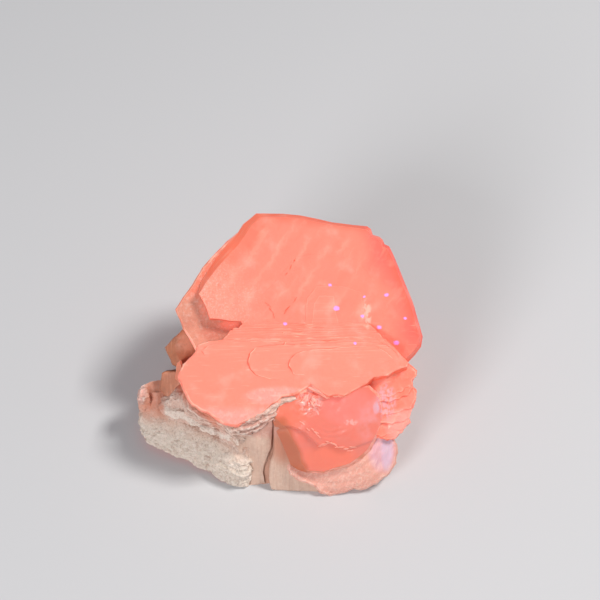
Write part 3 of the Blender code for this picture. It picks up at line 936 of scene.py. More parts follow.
first = len(growths)
growths += [
    crag("lower_block", [(-2, LOWER_FOOT), (6, LOWER_FOOT), (9, LOWER_BROW), (12.6, LOWER_TOP)],
         0.2, CRUST, LOWER_MIDDLE, 43, ledges=0.6, rough=0.34, grain=1.2, calm=(8.5, 10.5, 0.25), rings=10,
         spacing=0.46, seed=111),
    crag("upper_block",
         drawn_sections(UPPER_FOOT, UPPER_MIDDLE, [(11.5, 1.6), (14, 1.5), (17, 1.6), (20.2, 3.4)]),
         1.0, PINK_CRUST, UPPER_MIDDLE, 22, ledges=0.3, rough=0.3, grain=1.6, spacing=0.6, seed=113),
    crag("frill",
         drawn_sections(UPPER_FOOT, UPPER_MIDDLE, [(13.8, 1.2), (14.4, -0.2), (16.2, -0.4), (17.3, 0.5)]),
         0.3, CRUST, UPPER_MIDDLE, 12, ledges=0.6, rough=0.38, grain=1.5, rings=8, spacing=0.42, seed=123),
    crag("left_lump", drawn_sections(LEFT_LUMP, LUMP_MIDDLE, [(9, 0), (15.6, 0), (16.8, 0.6)]),
         0.2, PINK_CRUST, LUMP_MIDDLE, 18, ledges=0.3, rough=0.22, grain=1.6, rings=5, seed=115),
    crag("saddle", [(3, SADDLE), (9.6, SADDLE), (16, SADDLE_TOP)],
         0.1, CRUST, SADDLE_MIDDLE, 22, ledges=0.3, rough=0.16, grain=2.2, rings=6, seed=119),
    crag("back_foot", drawn_sections(BACK_FOOT, BACK_MIDDLE, [(-2, 0), (4, 0), (9, 3)]),
         1.0, CRUST, BACK_MIDDLE, 18, ledges=1.2, rough=0.6, grain=3.0, rings=5, spacing=0.9, seed=117),
]
print("rough blocks:", faces_since(first), "faces")

# %% [markdown]
# ## One solid
#
# Crystals that grew together have no seam inside, so the growths are joined into one closed mesh,
# which also removes every hidden inner face. Then the foot is cut flat, and its left end is cut to
# rise from the ground. Booleans do both. The Manifold solver is the quick one, and it keeps each
# face's finish number.

# %% Join the growths and cut the foot
CUT_REACH = 120.0  # half the width of a cutting block
OVERHANG = 7.0  # how many degrees the left end's underside rises from the ground
OVERHANG_START = -13.1  # where it leaves the ground


def cutting_block(name, start, rise):
    """A block whose top runs left from a point on the ground and rises at an angle."""
    turn = math.radians(rise)
    left = np.array([-math.cos(turn), 0, math.sin(turn)])
    down = np.array([-math.sin(turn), 0, -math.cos(turn)])
    near = np.array([start, 0, 0])
    ends = np.array([(1, -1), (0, -1), (0, 1), (1, 1)])
    level = near + ends[:, :1] * left * 2 * CUT_REACH + ends[:, 1:] * (0, CUT_REACH, 0)
    return closed_mesh(name, np.stack([level + down * CUT_REACH, level]), [EDGE] * 3)


def boolean(made, operation, other):
    """Joins another growth to this one, or cuts it away."""
    step = made.modifiers.new(other.name, "BOOLEAN")
    step.operation = operation
    step.solver = "MANIFOLD"
    step.object = other


cutters = [cutting_block("ground_cut", CUT_REACH, 0), cutting_block("overhang_cut", OVERHANG_START, OVERHANG)]
for other in growths[1:]:
    boolean(growths[0], "UNION", other)
for other in cutters:
    boolean(growths[0], "DIFFERENCE", other)
joined = bpy.data.meshes.new_from_object(growths[0].evaluated_get(bpy.context.evaluated_depsgraph_get()))
for helper in [*growths, *cutters]:
    bpy.data.objects.remove(helper)
joined.name = "calcite_crystals"

# %% [markdown]
# Where two rough skins nearly touch, the join can leave a crumb or a tiny hollow inside. A part should
# be one unbroken skin, so only the largest connected piece is kept. Its edges are shaded as sharp
# where two faces meet at more than 24 degrees, and smooth elsewhere.

# %% Remove the crumbs
SHARP_ANGLE = 24.0


def connected(mesh):
    """A label for each vertex: it takes the lowest label of its neighbours until nothing changes."""
    ends = read_mesh(mesh.edges, "vertices", np.int32, 2).reshape(-1, 2)
    label = np.arange(len(mesh.vertices))
    while True:
        lower = label.copy()
        np.minimum.at(lower, ends.ravel(), np.repeat(label[ends].min(1), 2))
        lower = lower[lower]
        if (lower == label).all():
            return label
        label = lower


labels = connected(joined)
crumbs = np.flatnonzero(labels != np.bincount(labels).argmax())
shell = bmesh.new()
shell.from_mesh(joined)
shell.verts.ensure_lookup_table()
bmesh.ops.delete(shell, geom=[shell.verts[index] for index in crumbs], context="VERTS")
shell.to_mesh(joined)
shell.free()
specimen = bpy.data.objects.new("calcite_crystals", joined)
bpy.context.scene.collection.objects.link(specimen)
joined.polygons.foreach_set("use_smooth", np.ones(len(joined.polygons), bool))
joined.set_sharp_from_angle(angle=math.radians(SHARP_ANGLE))
joined.calc_loop_triangles()
print(len(crumbs), "stray vertices removed, one closed mesh of", len(joined.loop_triangles), "triangles")

# %% [markdown]
# ## Colours that change slowly
#
# The real specimen changes colour over centimetres: the great crystal is clearer and redder on the
# right, the lower sheets are browner, and a violet-white bloom lies round the broken crystal. Such
# slow changes could be shader nodes, but there are dozens, and a shader that long is slow to draw.
# So numpy works them out at every corner of every face, and the mesh keeps them as attributes. A
# corner, not a vertex, because two finishes with different colours meet along an edge.

# %% Where each corner of each face is
vertices = read_mesh(joined.vertices, "co", np.float32, 3).reshape(-1, 3).astype(float) / MM
corners = read_mesh(joined.loops, "vertex_index", np.int32)
sides = read_mesh(joined.polygons, "loop_total", np.int32)
finish = np.repeat(read_mesh(joined.attributes["finish"].data, "value", np.float32), sides) + 0.001
kind = np.floor(finish)
fraction = finish - kind
on_slope = slope.read(vertices)
across, up, out = on_slope[corners].T
tall = vertices[corners, 2]
print(len(corners), "face corners with", len(np.unique(kind)), "finishes")


def ease(value, start, stop):
    """0 before start, 1 after stop, and 3 t^2 - 2 t^3 between."""
    t = np.clip((value - start) / (stop - start), 0, 1)
    return t * t * (3 - 2 * t)


def faces(*numbers):
    """1 on the faces with one of those finishes, 0 elsewhere."""
    return np.isin(kind, numbers).astype(float)


def oval(a, b, wide, high, soft=0.5):
    """1 inside an ellipse on the slope, fading to 0 outside it."""
    return ease(((across - a) / wide) ** 2 + ((up - b) / high) ** 2, 1.0 + soft, max(1.0 - soft, 0.0))


def mottle(size, seed):
    """Soft random patches of about size millimetres, from about -0.5 to 0.5."""
    return 0.3 * noise(on_slope, size, seed, 3)[corners]


def screen_colour(red, green, blue):
    """A colour as a screen shows it, 0 to 255, as the linear numbers that a shader takes."""
    share = np.array([red, green, blue]) / 255
    linear = np.where(share < 0.04045, share / 12.92, ((share + 0.055) / 1.055) ** 2.4)
    return (*linear.tolist(), 1.0)


def paint(colours, colour, share):
    """Each corner's colour moved towards another by a share of the way."""
    share = np.clip(share, 0, 1)[:, None]
    return colours + (np.array(screen_colour(*colour)[:3]) - colours) * share


# %% [markdown]
# Each finish has its own colour, as it looks in plain white light, but three also hold painted light.
# BROWN is darker and browner than the other crystals as painted shade, CREVICE is a little darker than
# the wall as painted shade, and RIM's pale line along the edges of faces and bevels is a painted
# highlight, while on the fringe and the frost lump RIM is their pale frost. The fraction of the finish
# number says how far a face has gone towards frosted salmon.

# %% Colours of the finishes
COLOURS = {
    FROSTED: (240, 131, 110), EDGE: (242, 104, 76), RIM: (250, 168, 146), TERRACE: (218, 144, 120),
    BROWN: (198, 126, 93), CLEAR: (224, 122, 106), CRUST: (226, 207, 190), FOOT: (228, 164, 146),
    WALL: (214, 180, 160), PINK_CRUST: (228, 192, 175), FLANK: (210, 130, 104), FROST: (246, 184, 166),
    CREVICE: (208, 160, 138),
}
PALE_SALMON = (246, 158, 136)  # where frosted faces go instead
table = np.array([screen_colour(*COLOURS[number])[:3] for number in range(len(COLOURS))])
tint = table[kind.astype(int)]
# At random places the rim's painted highlight gives way to the frosted colour.
rim_highlight_breaks = ease(mottle(2.2, 311), 0.12, -0.08) * faces(RIM)
goal = paint(np.broadcast_to(table[FROSTED], tint.shape), PALE_SALMON, faces(FROSTED))
share = np.maximum(fraction, rim_highlight_breaks)[:, None] * (kind != FLANK)[:, None]
tint = tint + (goal - tint) * share
print("mean base colour:", tint.mean(0).round(3))

# %% [markdown]
# Where the crystals are clear the light goes deep and comes back redder. Where they are frosted or
# cracked inside, it comes back whiter. Each region is a mask made of ellipses and soft edges on the
# slope. The list holds the colour that goes on in each, and how thickly, from the first to the last.

# %% Colours of the crystals
frosted = faces(FROSTED, RIM, EDGE)
clearer = ease(across + up * 0.35 + mottle(7.0, 312) * 10.0, 20.0, 30.5) * ease(up, -20.0, -8.0) * frosted
shore = ease(across * 0.115 + up * 0.993, 19.6, 22.0) + ease(across * 0.928 + up * 0.372, 25.4, 27.4)
shore = np.minimum(shore, 1) * faces(FROSTED) * ease(up, -14.0, -10.0)
upper_left = across * -0.81 + up * 0.59
glow = ease(upper_left + mottle(2.5, 313) * 2.0, 17.0, 20.5) * ease(up, 1.0, 6.0) * faces(FROSTED)
# The upper left bevel is painted lighter and redder, as painted light.
bevel_glow = ease(upper_left, 20.0, 22.5) * faces(EDGE)
beige = ease(across * -1 - up * 0.4 + mottle(5.0, 313) * 12.0, 8.0, 24.0) * ease(up, -8.0, -3.0)
beige = beige * faces(FROSTED)
# The terrace's pocket is painted a bright red-orange, a painted glow where it lies in shade.
pocket = np.minimum(oval(-19.0, -7.0, 3.2, 1.5, 0.6) + oval(-26.6, -1.0, 1.0, 4.5, 0.7) * 0.5, 1)
ledge = ease(across, -24.0, -27.0) * ease(up, -9.5, -7.0) * ease(out, -2.0, -2.6)
brink = np.minimum(ease(up, -28.0, -31.0) + oval(-6.0, -26.0, 8.5, 2.4, 0.6), 1) * faces(FROSTED)
low_edge = ease(up, -19.0, -23.0) * ease(across, -6.0, -12.0) * faces(EDGE)
# Darker brown-orange ovals at the terrace's lower left: painted shade in the recess.
recess_shade = oval(-25.0, -9.0, 2.4, 1.6, 0.7) + oval(-31.0, -6.0, 2.2, 2.2, 0.7) * 0.6
shelves = np.minimum(oval(28.5, -34.5, 5.0, 4.5, 0.6) + oval(30.5, -28.0, 2.2, 2.5, 0.6) * 0.2, 1)
for colour, share in [
    ((240, 92, 82), clearer * 0.8),
    ((226, 112, 86), ease(across, -29.0, -24.0) * faces(BROWN) * 0.8),
    ((224, 162, 132), oval(-31.5, -11.5, 3.0, 2.5, 0.6) * faces(BROWN) * 0.8),
    ((244, 98, 72), shore * 0.6),
    ((242, 104, 76), glow * 0.5),
    ((255, 112, 82), bevel_glow * 0.6),
    ((226, 152, 130), beige * 0.6),
    ((236, 122, 96), ease(up, -1.0, 3.0) * faces(TERRACE) * 0.8),
    ((255, 146, 120), pocket * faces(TERRACE)),
    ((214, 138, 114), ledge * faces(RIM, EDGE) * 0.8),
    ((250, 160, 150), brink * 0.6),
    ((240, 148, 128), low_edge * 0.8),
    ((196, 112, 90), recess_shade * faces(EDGE, RIM, TERRACE, FROSTED) * 0.6),
    ((246, 172, 164), shelves * faces(EDGE, RIM, FROST) * 0.5),
]:
    tint = paint(tint, colour, share)
print("clear faces:", clearer.mean().round(3), "beige faces:", beige.mean().round(3))

# %% [markdown]
# The broken crystal is clear and so darker and redder. Its right gets painted violet light, and its
# left flank a painted brown shade.

# %% Colours of the broken crystal
deep = oval(-3.0, -30.5, 5.5, 4.5, 0.6) + oval(8.0, -43.5, 8.0, 3.5, 0.6)
# Painted violet light at the broken crystal's right.
painted_violet_haze = oval(20.5, -33.0, 4.5, 6.5, 0.9) * ease(mottle(2.5, 314), -0.25, 0.15) * faces(CLEAR, FLANK)
lip = ease(across, 0.5, 4.0) * faces(FLANK) * ease(mottle(1.2, 315), -0.2, 0.1)
# Painted brown shade down the broken crystal's left flank.
flank_shade = ease(across + up * 0.41 + mottle(3.0, 316) * 2.0, -15.8, -18.2) * faces(CLEAR, FLANK)
for colour, share in [
    ((236, 122, 96), deep * faces(CLEAR) * 0.6),
    ((244, 130, 120), oval(13.0, -29.0, 7.0, 5.0, 0.5) * faces(CLEAR) * 0.7),
    ((228, 150, 148), painted_violet_haze * 0.7),
    ((240, 172, 158), lip * 0.8),
    ((184, 100, 70), flank_shade * ease(up, -30.5, -33.5) * 0.85),
]:
    tint = paint(tint, colour, share)
print("milky faces:", painted_violet_haze.mean().round(4), "brown flank:", flank_shade.mean().round(4))

# %% [markdown]
# The foot is rock: whitish where it broke, beige where it weathered, and salmon brown on the smooth
# slide between the small block and the left corner. Behind, the plates' edges are stained as the rock.

# %% Colours of the foot
crag_face = faces(CRUST, PINK_CRUST)
bare = ease(tall + mottle(4.0, 317) * 6.0, 12.0, 7.0) * crag_face * ease(across, -12.0, -15.5)
smooth = ease(tall + mottle(4.0, 317) * 4.0, 8.0, 12.0) * faces(CRUST)
# A dark brown line on the ramp just below the frill's lip, painted shade under its overhang.
undercut_shade = ease(tall + mottle(3.0, 320) * 1.5, 10.4, 12.0) * ease(tall, 13.8, 13.0) * faces(CRUST)
undercut_shade = undercut_shade * ease(across, -35.0, -31.0) * ease(across, -12.5, -15.5)
frosting = ease(tall, 13.6, 14.6) * ease(tall, 18.6, 17.6) * faces(CRUST) * ease(across, -15.0, -20.0)
corner = oval(-44.8, -26.0, 2.0, 3.2, 0.5) * crag_face
slide = ease(up + mottle(3.0, 318) * 4.0, -35.0, -29.0) * ease(across, -34.0, -36.0) * ease(tall, 18.0, 16.5)
slide = slide * crag_face * (1 - corner) * (1 - oval(-34.0, -30.5, 3.6, 4.4, 0.2))
# Painted violet light on the pale plate's right.
violet = oval(22.6, -41.5, 3.6, 5.5, 0.6) * faces(FOOT)
# The wall's upper part beside the broken crystal is painted brown-orange as painted shade.
wall_shade = oval(-4.0, -38.8, 4.2, 6.5, 0.8) * faces(WALL)
behind = ease(across * -0.68 - up * 0.735, 42.4, 40.4) * ease(across, -20.0, -24.0) * ease(tall, 12.5, 14.0)
behind = behind * crag_face
blush = oval(-9.5, -34.0, 7.5, 3.6, 0.6) * faces(WALL, PINK_CRUST, CRUST)
rock = ease(tall + mottle(5.0, 319) * 14.0, 12.0, 4.0) * ease(vertices[corners, 1], 6.0, 11.0)
for colour, share in [
    ((224, 208, 192), bare * 0.8),
    ((224, 186, 166), smooth * 0.8),
    ((150, 104, 86), undercut_shade * 0.6),
    ((240, 222, 208), frosting * 0.8),
    ((236, 172, 158), corner * 0.7),
    ((218, 142, 114), slide * 0.9),
    ((196, 130, 106), oval(-38.5, -27.5, 2.2, 3.5, 0.7) * slide * 0.35),
    ((218, 164, 174), violet * 0.9),
    ((194, 114, 86), wall_shade * 0.72),
    ((226, 142, 114), behind * 0.95),
    ((210, 152, 136), blush * 0.8),
    ((216, 170, 150), rock * frosted * 0.85),
]:
    tint = paint(tint, colour, share)
print("slide:", slide.mean().round(4), "bare rock:", bare.mean().round(3))

# %% [markdown]
# The material also needs to know how each place is worn: how grainy, how much painted shade its gaps
# take, and whether it is a crystal or a stone. These are masks from 0 to 1, kept beside the colour.

# %% Keep the colours and masks in the mesh
smooth_foot = oval(22.5, -41.0, 5.0, 7.5, 0.5)
grainy = crag_face + faces(TERRACE) * 0.4 + faces(FOOT) * (1 - smooth_foot) * 0.4
grainy = grainy - np.maximum(slide, behind) * 0.8
# How strongly each place's gaps take the painted brown shade.
dry = faces(WALL, BROWN, CREVICE) * 0.5 + faces(PINK_CRUST) * 0.35 + faces(CRUST, TERRACE) * 0.3
stony = faces(CRUST, PINK_CRUST, WALL, TERRACE, BROWN, CREVICE) + faces(FOOT) * 0.6
gloss = 0.46 - faces(CLEAR) * 0.22 - faces(FLANK) * 0.1 + faces(FROST) * 0.1
MASKS = {
    "grainy": grainy, "beige": beige, "frosted": frosted, "dry": dry, "stony": stony, "gloss": gloss,
    "bevel_glow": bevel_glow, "brink": brink, "striped": faces(WALL) * (1 - wall_shade), "rayed": faces(FOOT),
    "edged": faces(EDGE), "sheet": faces(FROSTED), "clear": faces(CLEAR), "brown": faces(BROWN),
    "whitened": faces(CRUST) * (1 - slide),
}
for name, values in {"tint": tint, **MASKS}.items():
    mask = values.ndim == 1
    kept = joined.attributes.new(name, "FLOAT" if mask else "FLOAT_VECTOR", "CORNER")
    kept.data.foreach_set("value" if mask else "vector", np.ascontiguousarray(values, np.float32).ravel())
print("kept:", [attribute.name for attribute in joined.attributes])

# %% [markdown]
# ## Shader maths in Python
#
# A material is a sum of masks and colours, and a sum reads best as a formula. This small class wraps
# a shader socket, so that + - * / on it add Math nodes. One method adds every other kind of node.

# %% A shader value that can be reckoned with


class Signal:
    """A number or vector inside a material."""

    def __init__(self, tree, socket):
        self.tree = tree
        self.socket = socket

    def maths(self, operation, *others):
        """Adds a Math node that works on this value and the others."""
        return node(self.tree, "ShaderNodeMath", {"operation": operation}, [self, *others])

    def __add__(self, other):
        return self.maths("ADD", other)

    def __sub__(self, other):
        return self.maths("SUBTRACT", other)

    def __mul__(self, other):
        return self.maths("MULTIPLY", other)

    def __truediv__(self, other):
        return self.maths("DIVIDE", other)

    def __rsub__(self, other):
        return (self * -1) + other

    __radd__ = __add__
    __rmul__ = __mul__


def node(tree, kind, settings, values, output=0):
    """Adds a node: its settings first, then the value or link of each socket, by place or by name."""
    made = tree.nodes.new(kind)
    for name, value in settings.items():
        setattr(made, name, value)
    pairs = values.items() if isinstance(values, dict) else enumerate(values)
    for key, value in pairs:
        if isinstance(value, Signal):
            tree.links.new(value.socket, made.inputs[key])
        else:
            made.inputs[key].default_value = value
    return Signal(tree, made.outputs[output])


# %% [markdown]
# ## Calcite
#
# One material covers the whole specimen. It starts from the colours and masks that the mesh keeps,
# and adds what is too small for a face: soft clouds, growth lines along the sheets, and grain.

# %% Inputs of the calcite material
calcite = bpy.data.materials.new("calcite")
calcite.use_nodes = True
tree = calcite.node_tree
tree.nodes.clear()
place = node(tree, "ShaderNodeTexCoord", {}, {}, output=3)


def mask(name):
    """One of the masks that the mesh keeps."""
    return node(tree, "ShaderNodeAttribute", {"attribute_name": name}, {}, output=2)


def along(direction, origin):
    """How far a point is along a direction from an origin, in millimetres."""
    unit = np.array(direction, float)
    settings = {"operation": "DOT_PRODUCT"}
    dot = node(tree, "ShaderNodeVectorMath", settings, [place, unit.tolist()], output=1)
    return dot * (1 / MM) - float(unit @ np.array(origin))


def fade(value, start, stop):
    """0 before start, 1 after stop, smooth between."""
    settings = {"interpolation_type": "SMOOTHSTEP"}
    return node(tree, "ShaderNodeMapRange", settings, {0: value, 1: start, 2: stop, 3: 0.0, 4: 1.0})


def blend(first, second, share):
    """The first colour moved towards the second by a share of the way."""
    settings = {"data_type": "RGBA", "blend_type": "MIX"}
    return node(tree, "ShaderNodeMix", settings, {0: share, 6: first, 7: second}, output=2)


to_right, up_slope, off_face = (along(axis, slope.origin) for axis in slope.axes)
slope_place = node(tree, "ShaderNodeCombineXYZ", {}, [to_right, up_slope, off_face])


def cloud(size, detail=3.0, stretch=(1.0, 1.0, 1.0), roughness=0.5, shift=0.0):
    """Noise from 0 to 1 in patches of about size millimetres, stretched along the slope's own axes."""
    scale = [1 / (size * s) for s in stretch]
    settings = {"operation": "MULTIPLY_ADD"}
    moved = node(tree, "ShaderNodeVectorMath", settings, [slope_place, scale, [shift] * 3])
    values = {"Vector": moved, "Scale": 1.0, "Detail": detail, "Roughness": roughness}
    return node(tree, "ShaderNodeTexNoise", {}, values)


def strokes(degrees, width, length, shift=0.0, bend=0.0):
    """Noise from 0 to 1 drawn out into strokes along a direction on the slope, bent by slower noise."""
    cosine, sine = math.cos(math.radians(degrees)), math.sin(math.radians(degrees))
    lengthwise = (to_right * cosine + up_slope * sine) / length
    crosswise = (up_slope * cosine - to_right * sine + (cloud(2.0, shift=shift) - 0.5) * bend) / width
    drawn = node(tree, "ShaderNodeCombineXYZ", {}, [lengthwise, crosswise, shift])
    return node(tree, "ShaderNodeTexNoise", {}, {"Vector": drawn, "Scale": 1.0, "Detail": 3.0})


def spot(a, b, wide, high, soft=0.5):
    """1 inside an ellipse on the slope, fading to 0 outside it."""
    x = (to_right - a) / wide
    y = (up_slope - b) / high
    return fade(x * x + y * y, 1.0 + soft, max(1.0 - soft, 0.0))


def layer(base, coats):
    """Lays coats over a base colour, each a screen colour and the share that shows of it."""
    for colour, share in coats:
        base = blend(base, screen_colour(*colour), share)
    return base


# %% [markdown]
# Frost lies in small patches: a smear on the great face and crushed shards where the broken
# crystal's chip is. Painted light lies there too: a broken ring of painted violet light with a small
# painted violet highlight at the broken crystal's right, and a painted white highlight on its face.

# %% Patches of frost, painted violet light and painted highlights
sheet = mask("sheet")
frosted = mask("frosted")
clear = mask("clear")
soft = node(tree, "ShaderNodeAttribute", {"attribute_name": "tint"}, {}, output=0)
smear = spot(18.2, -4.0, 1.3, 4.0, 0.6) * fade(cloud(1.5, shift=4.0), 0.4, 0.6) * sheet
ring = cloud(0.9, stretch=(0.8, 1.2, 1.0), shift=3.0)
# A broken ring of painted violet light, and a small painted violet highlight.
painted_violet_ring = spot(23.6, -27.6, 2.6, 4.8, 0.6) * fade(ring, 0.35, 0.6) + spot(20.8, -29.5, 0.8, 1.6, 0.7)
shards = fade(strokes(50, 0.7, 2.0, bend=5.0), 0.42, 0.6)
chip_frost_and_painted_highlight = spot(2.6, -27.4, 3.4, 3.8, 0.7) * shards
# A painted white highlight on the broken crystal's face.
chip_frost_and_painted_highlight = chip_frost_and_painted_highlight + spot(13.9, -33.3, 1.8, 0.9, 0.5) * fade(cloud(0.7), 0.35, 0.6)
soft = layer(soft, [
    ((252, 190, 172), smear * 0.7),
    ((216, 170, 184), painted_violet_ring * (frosted + clear) * 0.6),
    ((238, 178, 170), chip_frost_and_painted_highlight.maths("MINIMUM", 1.0) * clear * 0.65),
])
print("nodes so far:", len(tree.nodes))

# %% [markdown]
# Clouds a few millimetres wide are where the sheets hold fine bubbles. Growth lines run along every
# sheet's edge. Grain covers the broken faces, pits the frosted ones, and leaves the clear break
# smooth.

# %% Clouds, lines and grain
patches = cloud(6.0)
fine = cloud(0.9, detail=4.0, roughness=0.6)
pits = cloud(0.55, detail=3.0, roughness=0.6, shift=5.0)
lines = cloud(1.2, detail=3.0, stretch=(6.0, 6.0, 0.25), shift=2.0)
upright = cloud(0.7, detail=2.0, stretch=(0.7, 8.0, 8.0), shift=8.0)
grainy, beige, striped, brown = mask("grainy"), mask("beige"), mask("striped"), mask("brown")
edged, rayed, brink = mask("edged"), mask("rayed"), mask("brink")
streaks = cloud(1.0, detail=3.0, stretch=(5.0, 0.6, 1.0), shift=7.0)
veils = strokes(58, 2.8, 12.0, 21.0, bend=3.0)
lumps = cloud(1.5, detail=2.0, shift=17.0)
banding = strokes(1.5, 0.32, 12.0, 3.0)
rays = strokes(62, 0.5, 2.6, 6.0, bend=2.4)
face = sheet * fade(up_slope, -7.0, -3.0)
top_band = fade(up_slope, -16.5, -13.0) * fade(off_face, 0.1, 0.5) * sheet
soft = layer(soft, [
    ((246, 178, 162), fade(patches, 0.5, 0.75) * frosted * 0.3),
    ((230, 112, 92), fade(fine, 0.52, 0.75) * frosted * 0.15),
    ((240, 190, 174), fade(pits, 0.5, 0.66) * beige * 0.45),
    ((214, 116, 96), fade(fine, 0.5, 0.36) * beige * 0.35),
    ((252, 190, 170), fade(streaks, 0.58, 0.8) * sheet * fade(up_slope, -4.0, -7.0) * 0.35),
    ((250, 178, 156), fade(lines, 0.52, 0.72) * edged * 0.35),
    ((254, 188, 166), fade(veils, 0.5, 0.75) * face * 0.2),
    ((232, 112, 90), fade(veils, 0.5, 0.3) * face * 0.18),
    ((248, 232, 220), fade(lumps, 0.5, 0.62) * mask("whitened") * 0.3),
    ((255, 196, 184), fade(lumps, 0.48, 0.66) * brink * 0.25),
    ((246, 228, 216), fade(fine, 0.48, 0.68) * grainy * 0.5),
    ((160, 122, 106), fade(pits, 0.52, 0.68) * (grainy + brown * 0.7) * 0.42),
    ((186, 146, 130), fade(upright, 0.5, 0.72) * striped * 0.35),
    ((232, 204, 188), fade(fine, 0.46, 0.7) * striped * 0.35),
    ((232, 168, 138), fade(lines, 0.5, 0.68) * brown * 0.45),
    ((160, 92, 66), fade(patches, 0.5, 0.36) * brown * 0.4),
    ((254, 200, 180), fade(banding, 0.52, 0.7) * top_band * 0.25),
    ((236, 104, 82), fade(banding, 0.46, 0.32) * top_band * 0.14),
    ((248, 210, 194), fade(rays, 0.5, 0.68) * rayed * 0.35),
    ((210, 144, 126), fade(rays, 0.48, 0.34) * rayed * 0.25),
    # Painted violet light on the pale plate's right.
    ((218, 200, 222), spot(24.0, -41.0, 1.6, 6.0, 0.7) * rayed * 0.5),
])
print("nodes so far:", len(tree.nodes))

# %% [markdown]
# Gaps and hollows are painted darker as painted shade, and ridges and crystal edges are painted paler
# as painted highlights. An Ambient Occlusion node measures how closed in a place is, and Pointiness how
# sharply the surface bends there.

# %% Gaps and ridges
GAP_WIDTH = 0.0025
settings = {"samples": 6, "only_local": True}
open_sky = node(tree, "ShaderNodeAmbientOcclusion", settings, {"Distance": GAP_WIDTH}, output="AO")
gap_shade = fade(open_sky, 0.72, 0.3)
bend = node(tree, "ShaderNodeNewGeometry", {}, {}, output="Pointiness")
# Ridges and convex edges are painted paler, as painted highlights.
ridge = fade(bend, 0.515, 0.57) * fade(cloud(1.3, shift=15.0), 0.3, 0.6)
hollow_shade = fade(bend, 0.485, 0.43)
soft = layer(soft, [
    ((136, 92, 76), gap_shade * mask("dry")),
    ((214, 76, 56), gap_shade * frosted * 0.35),
    ((250, 236, 222), ridge * grainy * 0.55),
    ((178, 136, 120), hollow_shade * grainy * 0.4),
    ((255, 190, 168), fade(bend, 0.52, 0.6) * (frosted - sheet) * 0.28),
    ((222, 84, 62), hollow_shade * frosted * 0.4),
])
print("nodes so far:", len(tree.nodes))

# %% [markdown]
# Ten tiny painted violet glints. Each is a small spot on the slope, its edge made uneven by noise, and
# the brightest spot wins where two touch.

# %% Painted violet glints
VIOLET_GLINTS = [
    (8.2, 4.1, 0.45), (10, -2.3, 0.75), (17.1, -4.4, 0.45), (21.7, -7.5, 0.6), (23.7, 1.4, 0.6),
    (28.8, -5, 0.4), (26.4, -11.7, 0.7), (-4.1, -6.5, 0.5), (15, -11.8, 0.4), (17.6, 0.9, 0.4),
]
wobble = (cloud(0.7, shift=13.0) - 0.5) * 0.5
glint, *others = (spot(a + wobble, b - wobble, size, size * 0.8, 0.95) for a, b, size in VIOLET_GLINTS)
for other in others:
    glint = glint.maths("MAXIMUM", other)
final = layer(soft, [((236, 160, 244), glint * fade(off_face, -3.0, -1.0))])
print(len(VIOLET_GLINTS), "violet grains")

# %% [markdown]
# Two shaders share the specimen. The crystals let light in and scatter it a few millimetres, red
# farthest, and they get a painted glow of their own colour. The crusts are a dry rough stone that
# scatters less.

# %% The two shaders
stony = mask("stony")
glow = blend((0, 0, 0, 1), final, fade(stony, 1.0, 0.0))
# The upper left bevel gets extra painted glow.
glow = layer(glow, [((255, 172, 138), mask("bevel_glow") * 0.8)])
height = pits * (grainy * 2.6 + beige * 1.4 + frosted * 0.3) + fine * (grainy * 2.4 + brink * 1.6 + 0.3)
height = height + lines * edged + upright * striped
bump = node(tree, "ShaderNodeBump", {}, {"Strength": 0.5, "Distance": 0.0004, "Height": height})
crystal = node(
    tree, "ShaderNodeBsdfPrincipled", {},
    {
        "Base Color": final,
        "Roughness": mask("gloss"),
        "Subsurface Weight": 0.4,
        "Subsurface Radius": (1.0, 0.35, 0.25),
        "Subsurface Scale": 0.0022,
        "Specular IOR Level": 0.5,
        "Emission Color": glow,
        "Emission Strength": 0.16,
        "Normal": bump,
    },
)
stone = node(
    tree, "ShaderNodeBsdfPrincipled", {},
    {
        "Base Color": final,
        "Roughness": 0.5,
        "Subsurface Weight": 0.05,
        "Subsurface Radius": (1.0, 0.6, 0.5),
        "Subsurface Scale": 0.0006,
        "Specular IOR Level": 0.35,
        "Normal": bump,
    },
)
mixed = node(tree, "ShaderNodeMixShader", {}, {0: stony, 1: crystal, 2: stone})
output = tree.nodes.new("ShaderNodeOutputMaterial")
tree.links.new(mixed.socket, output.inputs["Surface"])
joined.materials.clear()
joined.materials.append(calcite)
print("calcite has", len(tree.nodes), "nodes")

# %% [markdown]
# ## The studio
#
# A pale floor, a large soft key light above on the right, a broad fill from the left, and a pale
# world. The camera looks down at 50 degrees, square on to the great face, from 60 centimetres away.

# %% Floor, lights and camera
CAMERA_ELEVATION = 50.0
CAMERA_DISTANCE = 600.0
VIEW_WIDTH = 164.4
SENSOR = 36.0
FLOOR_REACH = 3.0
PAPER = (0.6, 0.6, 0.61, 1)
SKY = (0.92, 0.94, 1.0, 1)
LIGHTS = [  # its name, place in metres, width, power and colour
    ("key", (0.5, 0.0, 0.8), 0.2, 6.8, (1, 0.98, 0.96)),
    ("fill", (-0.45, -0.75, 0.5), 0.35, 5.6, (0.98, 0.98, 1)),
]

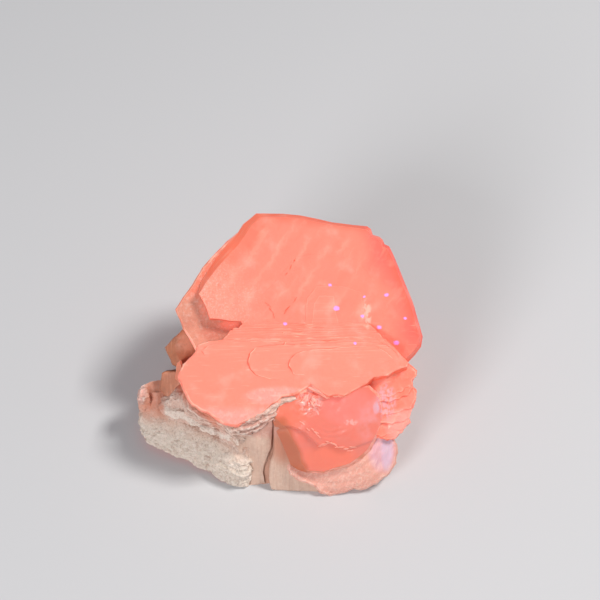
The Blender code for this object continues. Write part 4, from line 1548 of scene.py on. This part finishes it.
floor_mesh = bpy.data.meshes.new("floor")
floor_corners = [(x * FLOOR_REACH, y * FLOOR_REACH, 0) for x, y in ((-1, -1), (1, -1), (1, 1), (-1, 1))]
floor_mesh.from_pydata(floor_corners, [], [(0, 1, 2, 3)])
floor = bpy.data.objects.new("floor", floor_mesh)
bpy.context.scene.collection.objects.link(floor)
paper = bpy.data.materials.new("floor_paper")
paper.use_nodes = True
paper.node_tree.nodes["Principled BSDF"].inputs["Base Color"].default_value = PAPER
paper.node_tree.nodes["Principled BSDF"].inputs["Roughness"].default_value = 0.9
floor_mesh.materials.append(paper)

world = bpy.data.worlds.new("studio")
world.use_nodes = True
world.node_tree.nodes["Background"].inputs["Color"].default_value = SKY
world.node_tree.nodes["Background"].inputs["Strength"].default_value = 0.22
bpy.context.scene.world = world


def aim(made, target):
    """Turns a light or camera so that its -Z looks at a point."""
    towards = np.array(target) - np.array(made.location)
    flat = math.hypot(towards[0], towards[1])
    tilt = math.atan2(towards[2], flat)
    heading = math.atan2(towards[1], towards[0])
    made.rotation_euler = (math.pi / 2 + tilt, 0, heading - math.pi / 2)


def soft_light(name, position, size, power, colour):
    """A square lamp that shines on the specimen's middle."""
    lamp = bpy.data.lights.new(name, "AREA")
    lamp.size = size
    lamp.energy = power
    lamp.color = colour
    made = bpy.data.objects.new(name, lamp)
    made.location = position
    aim(made, (0, 0, 0.03))
    bpy.context.scene.collection.objects.link(made)


for light in LIGHTS:
    soft_light(*light)

lens = bpy.data.cameras.new("camera")
lens.sensor_width = SENSOR
lens.lens = SENSOR * CAMERA_DISTANCE / VIEW_WIDTH
camera = bpy.data.objects.new("camera", lens)
target = slope.origin * MM
elevation = math.radians(CAMERA_ELEVATION)
camera.location = target + CAMERA_DISTANCE * MM * np.array([0, -math.cos(elevation), math.sin(elevation)])
aim(camera, target)
bpy.context.scene.collection.objects.link(camera)
bpy.context.scene.camera = camera
bpy.context.scene.view_settings.view_transform = "Standard"
print("lens:", round(lens.lens, 1), "mm")

# %% Hand over the specimen
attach(specimen, "root")
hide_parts("calcite_cluster")
